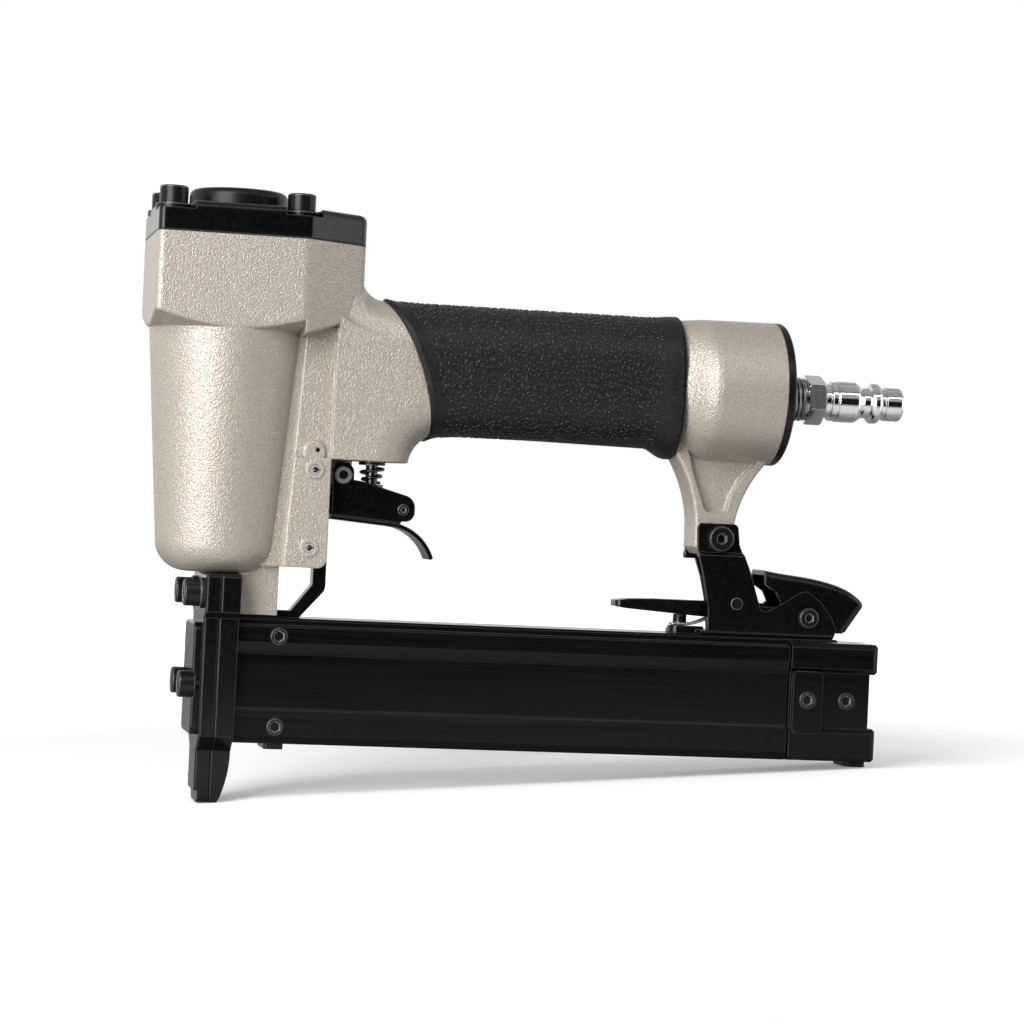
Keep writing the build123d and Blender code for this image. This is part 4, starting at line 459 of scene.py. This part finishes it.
def grip_section(around):
    """Upright slot section by its share of the way round: angle of the round ends, shift of their centres."""
    half_turn = math.pi * GRIP_RADIUS
    lengths = np.cumsum([0.0, GRIP_STRAIGHT, half_turn, 2 * GRIP_STRAIGHT, half_turn, GRIP_STRAIGHT])
    place = np.mod(around, 1.0) * lengths[-1]
    angle = np.interp(place, lengths, np.array([0, 0, 1, 1, 2, 2]) * math.pi)
    shift = np.interp(place, lengths, np.array([0, 1, 1, -1, -1, 0]) * GRIP_STRAIGHT)
    return angle, shift


def grip_front(around):
    """Distance along the tool of the sleeve's front edge, where the section meets the neck's round cut."""
    angle, shift = grip_section(around)
    height = GRIP_MIDDLE + shift + GRIP_RADIUS * np.sin(angle) - NECK_CURVE_Z
    return NECK_CURVE_X + np.sqrt(NECK_CURVE_RADIUS ** 2 - height ** 2)


def grip_point(along, around, proud):
    """Point of the sleeve by its distance along the tool, share of the way round and height off the surface.

    The section is a slot, swollen by an exponential lip in front, which is highest and leans forward
    underneath, and by a smooth step at the rear.
    """
    angle, shift = grip_section(around)
    edge = np.exp(-np.maximum(along - grip_front(around), 0.0) / FRONT_LIP_LENGTH)
    under = np.clip(-np.sin(angle), 0.0, 1.0) ** 3
    lip = (FRONT_LIP + FRONT_LIP_LOW * under) * edge
    swell = (along - grip_rear + REAR_SWELL_LENGTH) / (REAR_SWELL_LENGTH - REAR_FULL_LENGTH)
    step = np.clip(swell, 0.0, 1.0)
    step = step * step * (3.0 - 2.0 * step)
    side = GRIP_RADIUS + proud + lip + REAR_SWELL_SIDE * step
    tall = GRIP_RADIUS + proud + lip + REAR_SWELL_HEIGHT * step
    y = side * np.cos(angle)
    z = GRIP_MIDDLE - REAR_DROP * step + shift + tall * np.sin(angle)
    return np.stack([along - FRONT_LEAN * under * edge, y, z], axis=-1)


rubber_finish = dark_finish(
    "grip_rubber", GRIP_BLACK, GRIP_GREY, RUBBER_PER_METRE, RUBBER_DETAIL, rough=(0.38, 0.52),
    height=0.00012, strength=0.5, edge_radius=0.0003, gloss=0.20,
)
around = np.linspace(0.0, 1.0, SLEEVE_COLUMNS, endpoint=False)
corner = np.linspace(0.0, 0.5 * math.pi, LIP_STEPS)
run = np.linspace(0.0, 1.0, SLEEVE_ROWS)[1:-1]
ring_share = np.concatenate([[0.0], 0 * corner, run, 0 * corner + 1.0, [1.0]])
ring_inset = np.concatenate(
    [[0.0], LIP_ROUND * (1 - np.cos(corner)), 0 * run, -LIP_ROUND * (1 - np.sin(corner)), [0.0]]
)
ring_proud = np.concatenate(
    [[-GRIP_WALL], LIP_ROUND * (np.sin(corner) - 1), 0 * run, LIP_ROUND * (np.cos(corner) - 1), [-GRIP_WALL]]
)
front_edge = grip_front(around)[None, :]
along = front_edge + ring_share[:, None] * (grip_rear - front_edge) + ring_inset[:, None]
sleeve_points = grip_point(along, around[None, :] + 0 * along, ring_proud[:, None] + 0 * along)
rubber_sleeve = piece_from_grid("rubber_sleeve", sleeve_points, True, True, rubber_finish)
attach(rubber_sleeve, "tool_body")
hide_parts("grip_sleeve")

# Grip grains: short raised worms of rubber at random angles, moulded with the sleeve and rubbed shiny
# by the hand. Each is a low oval mound, closed below inside the sleeve's surface.
GRAIN_COLUMNS = 60
GRAIN_ROWS = 60
GRAIN_LENGTH = (0.0009, 0.0018)
GRAIN_WIDTH = (0.0005, 0.0008)
GRAIN_HEIGHT = 0.00026
GRAIN_SIDES = 8
GRAIN_SCATTER = (0.1, 0.9)
GRAIN_SEED = 11
MOUND_REACH = (0.0, 1.0, 0.84, 0.5, 0.0)
MOUND_HEIGHT = (-0.6, -0.15, 0.6, 0.93, 1.0)
BORDER_FRONT = 0.0050
BORDER_REAR = 0.0075
grain_finish = dark_finish(
    "grip_grain_rubber", GRIP_BLACK, GRIP_GREY, RUBBER_PER_METRE, RUBBER_DETAIL, rough=(0.22, 0.30),
    height=0.00004, strength=0.1, edge_radius=0.0001, gloss=0.50,
)
chance = np.random.default_rng(GRAIN_SEED)
column, row = np.meshgrid(np.arange(GRAIN_COLUMNS), np.arange(GRAIN_ROWS))
count = column.size
grain_share = (column.ravel() + chance.uniform(*GRAIN_SCATTER, count)) / GRAIN_COLUMNS
grain_around = (row.ravel() + chance.uniform(*GRAIN_SCATTER, count)) / GRAIN_ROWS
grain_start = grip_front(grain_around) + BORDER_FRONT
grain_along = grain_start + grain_share * (grip_rear - BORDER_REAR - grain_start)
grain_turn = chance.uniform(0.0, math.pi, count)[:, None]
grain_half = 0.5 * chance.uniform(*GRAIN_LENGTH, count)[:, None]
grain_side = 0.5 * chance.uniform(*GRAIN_WIDTH, count)[:, None]
perimeter = 2 * math.pi * GRIP_RADIUS + 4 * GRIP_STRAIGHT
oval_angle = np.linspace(0.0, 2 * math.pi, GRAIN_SIDES, endpoint=False)
oval_reach = np.array(MOUND_REACH)
oval_height = GRAIN_HEIGHT * np.array(MOUND_HEIGHT)
oval_along = grain_half * (oval_reach[:, None] * np.cos(oval_angle)).ravel()
oval_side = grain_side * (oval_reach[:, None] * np.sin(oval_angle)).ravel()
turned_along = np.cos(grain_turn) * oval_along - np.sin(grain_turn) * oval_side
turned_side = np.sin(grain_turn) * oval_along + np.cos(grain_turn) * oval_side
grain_points = grip_point(
    grain_along[:, None] + turned_along,
    grain_around[:, None] + turned_side / perimeter,
    np.repeat(oval_height, GRAIN_SIDES)[None, :] + 0 * oval_along,
)
ring = np.arange(GRAIN_SIDES)
next_ring = np.roll(ring, -1)
first_band = np.stack([ring, ring + GRAIN_SIDES, next_ring + GRAIN_SIDES, next_ring], axis=1)
bands = np.arange(len(oval_reach) - 1) * GRAIN_SIDES
mound_faces = (first_band[None] + bands[:, None, None]).reshape(-1, 4)
mound_step = len(oval_reach) * GRAIN_SIDES
grain_faces = (mound_faces[None] + mound_step * np.arange(count)[:, None, None]).reshape(-1, 4)
grip_grains = mesh_piece("grip_grains", grain_points, grain_faces, grain_finish)
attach(grip_grains, "tool_body")

# Air plug: turned and polished steel with bright plating. Its hexagon tightens it into the end cap by
# a taper thread, and its nose snaps into a hose coupler.
CHROME_LIGHT = (0.82, 0.82, 0.84, 1.0)
CHROME_DARK = (0.74, 0.74, 0.76, 1.0)
plug_chrome = metal_finish(
    "plug_chrome", CHROME_LIGHT, CHROME_DARK, per_metre=700.0, stretch=(1.0, 0.2, 0.2),
    rough=(0.06, 0.11), edge_radius=0.0003, strength=0.02,
)
dress(plug_chrome, "air_plug")

# Plug thread: the pipe thread between the end cap and the hexagon, cut as one spiral of ridges into the
# plug's plain neck and left a little darker than the polished part.
THREAD_PITCH = 0.00141
THREAD_FROM = 0.1781
THREAD_TO = 0.1868
THREAD_ROOT = 0.00662
THREAD_CREST = 0.00708
THREAD_INSIDE = 0.0060
THREAD_ROWS = 90
THREAD_COLUMNS = 48
THREAD_STEEL = (0.42, 0.41, 0.40, 1.0)
THREAD_DARK = (0.26, 0.25, 0.25, 1.0)
plug_low, plug_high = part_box("air_plug")
plug_z = 0.5 * (plug_low[2] + plug_high[2])


def thread_point(along, turn, radius):
    """Point at a distance along the tool, a share of a turn round the plug's middle line and a radius."""
    y = radius * np.cos(2 * math.pi * turn)
    z = plug_z + radius * np.sin(2 * math.pi * turn)
    return np.stack([along, y, z], axis=-1)


thread_finish = metal_finish(
    "thread_steel", THREAD_STEEL, THREAD_DARK, per_metre=2200.0, stretch=(1.0, 0.1, 0.1),
    rough=(0.24, 0.38), edge_radius=0.0001,
)
thread_turn = np.linspace(0.0, 1.0, THREAD_COLUMNS, endpoint=False)[None, :]
thread_along = np.linspace(THREAD_FROM, THREAD_TO, THREAD_ROWS)[:, None]
phase = np.mod((thread_along - THREAD_FROM) / THREAD_PITCH - thread_turn, 1.0)
run_out = np.clip(np.minimum(thread_along - THREAD_FROM, THREAD_TO - thread_along) / THREAD_PITCH, 0.0, 1.0)
ridge = THREAD_ROOT + (THREAD_CREST - THREAD_ROOT) * (1.0 - np.abs(2.0 * phase - 1.0)) * run_out
thread_along = np.vstack([thread_along, [[THREAD_TO], [THREAD_FROM]]]) + 0 * thread_turn
ridge = np.vstack([ridge, np.full((2, THREAD_COLUMNS), THREAD_INSIDE)])
thread_points = thread_point(thread_along, thread_turn + 0 * thread_along, ridge)
plug_thread = piece_from_grid("plug_thread", thread_points, True, True, thread_finish)
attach(plug_thread, "tool_body")

# Magazine: an extruded aluminium channel with ribbed beads, anodised black, and a cast end cover on
# the ground steel rail that slides in it with its pusher. The rear foot is rubber.
ANODISED = (0.0016, 0.0015, 0.0021, 1.0)
ANODISED_LIGHT = (0.0030, 0.0029, 0.0037, 1.0)
RAIL_STEEL = (0.58, 0.58, 0.59, 1.0)
RAIL_DARK = (0.50, 0.50, 0.51, 1.0)
anodised, nodes, links, shader = new_finish("black_anodised")
draw_lines = grain(nodes, links, per_metre=700.0, detail=4.0, stretch=(0.03, 1.0, 1.0))
draw_tone = between(nodes, links, draw_lines, ANODISED, ANODISED_LIGHT)
# Edges turn to a lighter grey: partly wear, partly a painted highlight.
links.new(wear_and_highlight(nodes, links, draw_tone, WEAR_AND_HIGHLIGHT_GREY, WEAR_AND_HIGHLIGHT_RADIUS), shader.inputs["Base Color"])
links.new(spread(nodes, links, draw_lines, (0.16, 0.24)), shader.inputs["Roughness"])
shader.inputs["Specular IOR Level"].default_value = 0.22
emboss(nodes, links, shader, draw_lines, MARK_HEIGHT, strength=0.1, edge_radius=0.0004)
rail_steel = metal_finish(
    "rail_steel", RAIL_STEEL, RAIL_DARK, per_metre=1800.0, stretch=(0.05, 1.0, 1.0),
    rough=(0.26, 0.34), edge_radius=0.0001, strength=0.05,
)
dress(anodised, "magazine_housing", "magazine_end_cover")
dress(rail_steel, "magazine_rail", "pusher", "pusher_rod")
dress(rubber_finish, "rear_foot")

# Pusher spring: a long thin coil of drawn wire on the rod inside the rail, which drives the nails
# forward. In the tool it is pressed together behind the pusher as the magazine fills; this coil keeps one
# length.
PUSHER_COIL_WIRE = 0.00035
PUSHER_COIL_RADIUS = 0.00175
PUSHER_COIL_TURNS = 56
pusher_low, pusher_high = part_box("pusher_spring")
rod_low, rod_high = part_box("pusher_rod")
rod_z = 0.5 * (rod_low[2] + rod_high[2])
pusher_coil = wire_coil(
    "pusher_coil",
    (pusher_low[0] + PUSHER_COIL_WIRE, 0.0, rod_z),
    (pusher_high[0] - PUSHER_COIL_WIRE, 0.0, rod_z),
    (PUSHER_COIL_RADIUS, PUSHER_COIL_RADIUS), PUSHER_COIL_TURNS, PUSHER_COIL_WIRE, drawn_wire,
)
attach(pusher_coil, "magazine_slide")
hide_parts("pusher_spring")
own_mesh(pusher_coil)

# Latch: bracket and lever of folded sheet steel in satin black. The bracket is screwed to the magazine
# and bolted to the leg, and the lever turns on a screw through its cheeks.
dress(satin_paint, "latch_bracket", "latch_lever")

# Latch leaf: a flat spring bent up under the lever's tongue and held to the bracket by a screw. In the
# tool, pressing the tongue bends it down; this leaf keeps one shape.
LEAF_THICK = 0.0008
LEAF_BEND_X = 0.1530
LEAF_BEND_ROUND = 0.0016
LEAF_ROWS = 60
LEAF_SIDES = 24
LEAF_EDGE_POWER = 0.2
LEAF_FACE_POWER = 0.4
leaf_low, leaf_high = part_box("latch_spring")
leaf_x = np.linspace(leaf_low[0], leaf_high[0] - 0.5 * LEAF_THICK, LEAF_ROWS)
rise = 0.5 * (leaf_x - LEAF_BEND_X + np.sqrt((leaf_x - LEAF_BEND_X) ** 2 + LEAF_BEND_ROUND ** 2))
rise = (rise - rise[0]) / (rise[-1] - rise[0])
leaf_z = leaf_low[2] + 0.5 * LEAF_THICK + (leaf_high[2] - leaf_low[2] - LEAF_THICK) * rise
leaf_path = np.stack([leaf_x, 0 * leaf_x, leaf_z], axis=1)
leaf_along = np.gradient(leaf_path, axis=0)
leaf_along /= np.linalg.norm(leaf_along, axis=1, keepdims=True)
leaf_up = np.cross(leaf_along, [0.0, 1.0, 0.0])
leaf_angle = np.linspace(0.0, 2 * math.pi, LEAF_SIDES, endpoint=False)
leaf_cos, leaf_sin = np.cos(leaf_angle), np.sin(leaf_angle)
leaf_side = leaf_high[1] * np.sign(leaf_cos) * np.abs(leaf_cos) ** LEAF_EDGE_POWER
leaf_tall = 0.5 * LEAF_THICK * np.sign(leaf_sin) * np.abs(leaf_sin) ** LEAF_FACE_POWER
leaf_rings = leaf_path[:, None] + leaf_tall[None, :, None] * leaf_up[:, None]
leaf_rings[:, :, 1] += leaf_side
latch_leaf = piece_from_grid("latch_leaf", closed_tube(leaf_path, leaf_rings), False, True, bright_steel)
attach(latch_leaf, "tool_body")
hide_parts("latch_spring")
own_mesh(latch_leaf)

# Floor: a wide pale sheet of paper under the nose tip and the rear foot. It slopes a little in the
# tool's own frame and runs level behind the foot, where the magazine slides out. It is white to the
# camera, shows one bright strip to reflections, and keeps the soft shadow.
NOSE_HEEL = 0.0026
FLOOR_REACH = 3.0
FLOOR_FRONT = -0.42
FLOOR_PALE = (0.95, 0.95, 0.95, 1.0)
FLOOR_DIM = (0.34, 0.34, 0.34, 1.0)
STRIP_STARTS = 0.25
STRIP_LEVELS = ((0.5, 0.6), (0.82, 0.6), (0.95, 0.1))
GLOW_NEAR = 0.23
GLOW_STARTS = 0.25
GLOW_FULL = 0.80
foot_low, foot_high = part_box("rear_foot")
slope = foot_low[2] / (foot_high[0] - NOSE_HEEL)
floor_x, floor_y = np.meshgrid([-FLOOR_REACH, foot_high[0], FLOOR_REACH], [FLOOR_FRONT, FLOOR_REACH])
floor_z = slope * (np.minimum(floor_x, foot_high[0]) - NOSE_HEEL)
floor_points = np.stack([floor_x, floor_y, floor_z], axis=-1)
floor_paper, nodes, links, shader = new_finish("floor_paper")
shader.inputs["Roughness"].default_value = 0.9
rays = nodes.new("ShaderNodeLightPath")
place = nodes.new("ShaderNodeTexCoord")
reach = nodes.new("ShaderNodeSeparateXYZ")
links.new(place.outputs["Object"], reach.inputs["Vector"])
in_front = nodes.new("ShaderNodeMapRange")
in_front.inputs["From Min"].default_value = FLOOR_FRONT
in_front.inputs["From Max"].default_value = 0.0
links.new(reach.outputs["Y"], in_front.inputs["Value"])
strip = nodes.new("ShaderNodeValToRGB")
strip.color_ramp.elements.remove(strip.color_ramp.elements[1])
strip.color_ramp.elements[0].position = STRIP_STARTS
strip.color_ramp.elements[0].color = (0.0, 0.0, 0.0, 1.0)
for position, level in STRIP_LEVELS:
    strip.color_ramp.elements.new(position).color = (level, level, level, 1.0)
links.new(in_front.outputs["Result"], strip.inputs["Fac"])
mirrored = nodes.new("ShaderNodeMath")
mirrored.operation = "MULTIPLY"
links.new(rays.outputs["Is Glossy Ray"], mirrored.inputs[0])
links.new(strip.outputs["Color"], mirrored.inputs[1])
shown = nodes.new("ShaderNodeMath")
shown.operation = "MAXIMUM"
links.new(rays.outputs["Is Camera Ray"], shown.inputs[0])
links.new(mirrored.outputs["Value"], shown.inputs[1])
tone = nodes.new("ShaderNodeMix")
tone.data_type = "RGBA"
tone.inputs["A"].default_value = FLOOR_DIM
tone.inputs["B"].default_value = FLOOR_PALE
links.new(shown.outputs["Value"], tone.inputs["Factor"])
links.new(tone.outputs["Result"], shader.inputs["Base Color"])
distance = nodes.new("ShaderNodeVectorMath")
distance.operation = "LENGTH"
fade = nodes.new("ShaderNodeMapRange")
fade.inputs["From Min"].default_value = GLOW_STARTS
fade.inputs["From Max"].default_value = GLOW_FULL
fade.inputs["To Min"].default_value = GLOW_NEAR
fade.inputs["To Max"].default_value = 1.0
glow = nodes.new("ShaderNodeMath")
glow.operation = "MULTIPLY"
links.new(place.outputs["Object"], distance.inputs[0])
links.new(distance.outputs["Value"], fade.inputs["Value"])
links.new(shown.outputs["Value"], glow.inputs[0])
links.new(fade.outputs["Result"], glow.inputs[1])
shader.inputs["Emission Color"].default_value = (1.0, 1.0, 1.0, 1.0)
links.new(glow.outputs["Value"], shader.inputs["Emission Strength"])
floor = piece_from_grid("floor", floor_points, False, False, floor_paper)

# Studio light: a pale room that is white behind the tool, dim overhead and dark in a band behind the
# camera. A tall soft box at the front left draws the bright streak on the barrel, a narrow strip and a
# broad weak box hang above, and another weak one stands at the right.
ROOM_FILL = 0.33
ROOM_DIM = 0.01
ROOM_CEILING = 0.35
ROOM_FRONT = 0.6
ROOM_DEPTH = (-0.45, 0.2)
CEILING_HEIGHT = (0.20, 0.80)
FRONT_HEIGHT = (0.26, 0.40)
TOOL_MIDDLE = (0.09, 0.0, 0.10)
BARREL_MIDDLE = (0.0, 0.0, 0.12)
world = bpy.data.worlds.new("studio")
bpy.context.scene.world = world
world.use_nodes = True
nodes, links = world.node_tree.nodes, world.node_tree.links
room = nodes["Background"]
direction = nodes.new("ShaderNodeTexCoord")
parts = nodes.new("ShaderNodeSeparateXYZ")
depth = nodes.new("ShaderNodeMapRange")
depth.inputs["From Min"].default_value = ROOM_DEPTH[0]
depth.inputs["From Max"].default_value = ROOM_DEPTH[1]
depth.inputs["To Min"].default_value = ROOM_DIM
depth.inputs["To Max"].default_value = 1.0
height = nodes.new("ShaderNodeMapRange")
height.inputs["From Min"].default_value = CEILING_HEIGHT[0]
height.inputs["From Max"].default_value = CEILING_HEIGHT[1]
height.inputs["To Min"].default_value = 1.0
height.inputs["To Max"].default_value = ROOM_CEILING
above = nodes.new("ShaderNodeMapRange")
above.inputs["From Min"].default_value = FRONT_HEIGHT[0]
above.inputs["From Max"].default_value = FRONT_HEIGHT[1]
above.inputs["To Max"].default_value = ROOM_FRONT
lit = nodes.new("ShaderNodeMath")
lit.operation = "MAXIMUM"
shade = nodes.new("ShaderNodeMath")
shade.operation = "MULTIPLY"
links.new(direction.outputs["Generated"], parts.inputs["Vector"])
links.new(parts.outputs["Y"], depth.inputs["Value"])
links.new(parts.outputs["Z"], height.inputs["Value"])
links.new(parts.outputs["Z"], above.inputs["Value"])
links.new(depth.outputs["Result"], lit.inputs[0])
links.new(above.outputs["Result"], lit.inputs[1])
links.new(lit.outputs["Value"], shade.inputs[0])
links.new(height.outputs["Result"], shade.inputs[1])
rays = nodes.new("ShaderNodeLightPath")
seen = nodes.new("ShaderNodeMath")
seen.operation = "MAXIMUM"
links.new(rays.outputs["Is Camera Ray"], seen.inputs[0])
mirrored = nodes.new("ShaderNodeMath")
mirrored.operation = "MAXIMUM"
links.new(rays.outputs["Is Glossy Ray"], mirrored.inputs[0])
links.new(rays.outputs["Is Transmission Ray"], mirrored.inputs[1])
strength = nodes.new("ShaderNodeMix")
strength.inputs["A"].default_value = ROOM_FILL
links.new(mirrored.outputs["Value"], strength.inputs["Factor"])
links.new(shade.outputs["Value"], strength.inputs["B"])
links.new(strength.outputs["Result"], seen.inputs[1])
links.new(seen.outputs["Value"], room.inputs["Strength"])
room.inputs["Color"].default_value = (1.0, 1.0, 1.0, 1.0)


def soft_box(name, place, target, width, height, power):
    """Rectangular soft box at a place, turned to face a target."""
    lamp = bpy.data.lights.new(name, "AREA")
    lamp.shape = "RECTANGLE"
    lamp.size = width
    lamp.size_y = height
    lamp.energy = power
    box = bpy.data.objects.new(name, lamp)
    box.location = place
    box.rotation_euler = (Vector(target) - Vector(place)).to_track_quat("-Z", "Y").to_euler()
    bpy.context.scene.collection.objects.link(box)


soft_box("key_box", (-0.56, -0.64, 0.36), BARREL_MIDDLE, width=0.60, height=0.95, power=14.4)
soft_box("top_box", (0.10, -0.15, 1.20), TOOL_MIDDLE, width=1.4, height=0.9, power=0.6)
soft_box("strip_box", (0.10, -0.66, 0.80), TOOL_MIDDLE, width=1.3, height=0.10, power=1.6)
soft_box("side_box", (0.85, -0.25, 0.25), BARREL_MIDDLE, width=0.35, height=0.80, power=1.3)

# Camera: long lens at the height of the handle, a little to the front of the tool, rolled so that the
# tool stands as it rests. Its lens is worked out for a square picture.
IMAGE_SIDE = 1024
FOCAL_PIXELS = 3060.4
EYE = (-0.1051, -0.9472, 0.0925)
VIEW_YAW = math.radians(11.80)
VIEW_RISE = math.radians(0.07)
VIEW_ROLL = math.radians(2.71)
lens = bpy.data.cameras.new("camera")
lens.sensor_width = 36.0
lens.lens = lens.sensor_width * FOCAL_PIXELS / IMAGE_SIDE
lens.clip_end = 20.0
camera = bpy.data.objects.new("camera", lens)
turned = Matrix.Rotation(-VIEW_YAW, 4, "Z") @ Matrix.Rotation(0.5 * math.pi + VIEW_RISE, 4, "X")
camera.matrix_world = Matrix.Translation(EYE) @ turned @ Matrix.Rotation(VIEW_ROLL, 4, "Z")
bpy.context.scene.collection.objects.link(camera)
bpy.context.scene.camera = camera
bpy.context.scene.view_settings.view_transform = "Standard"
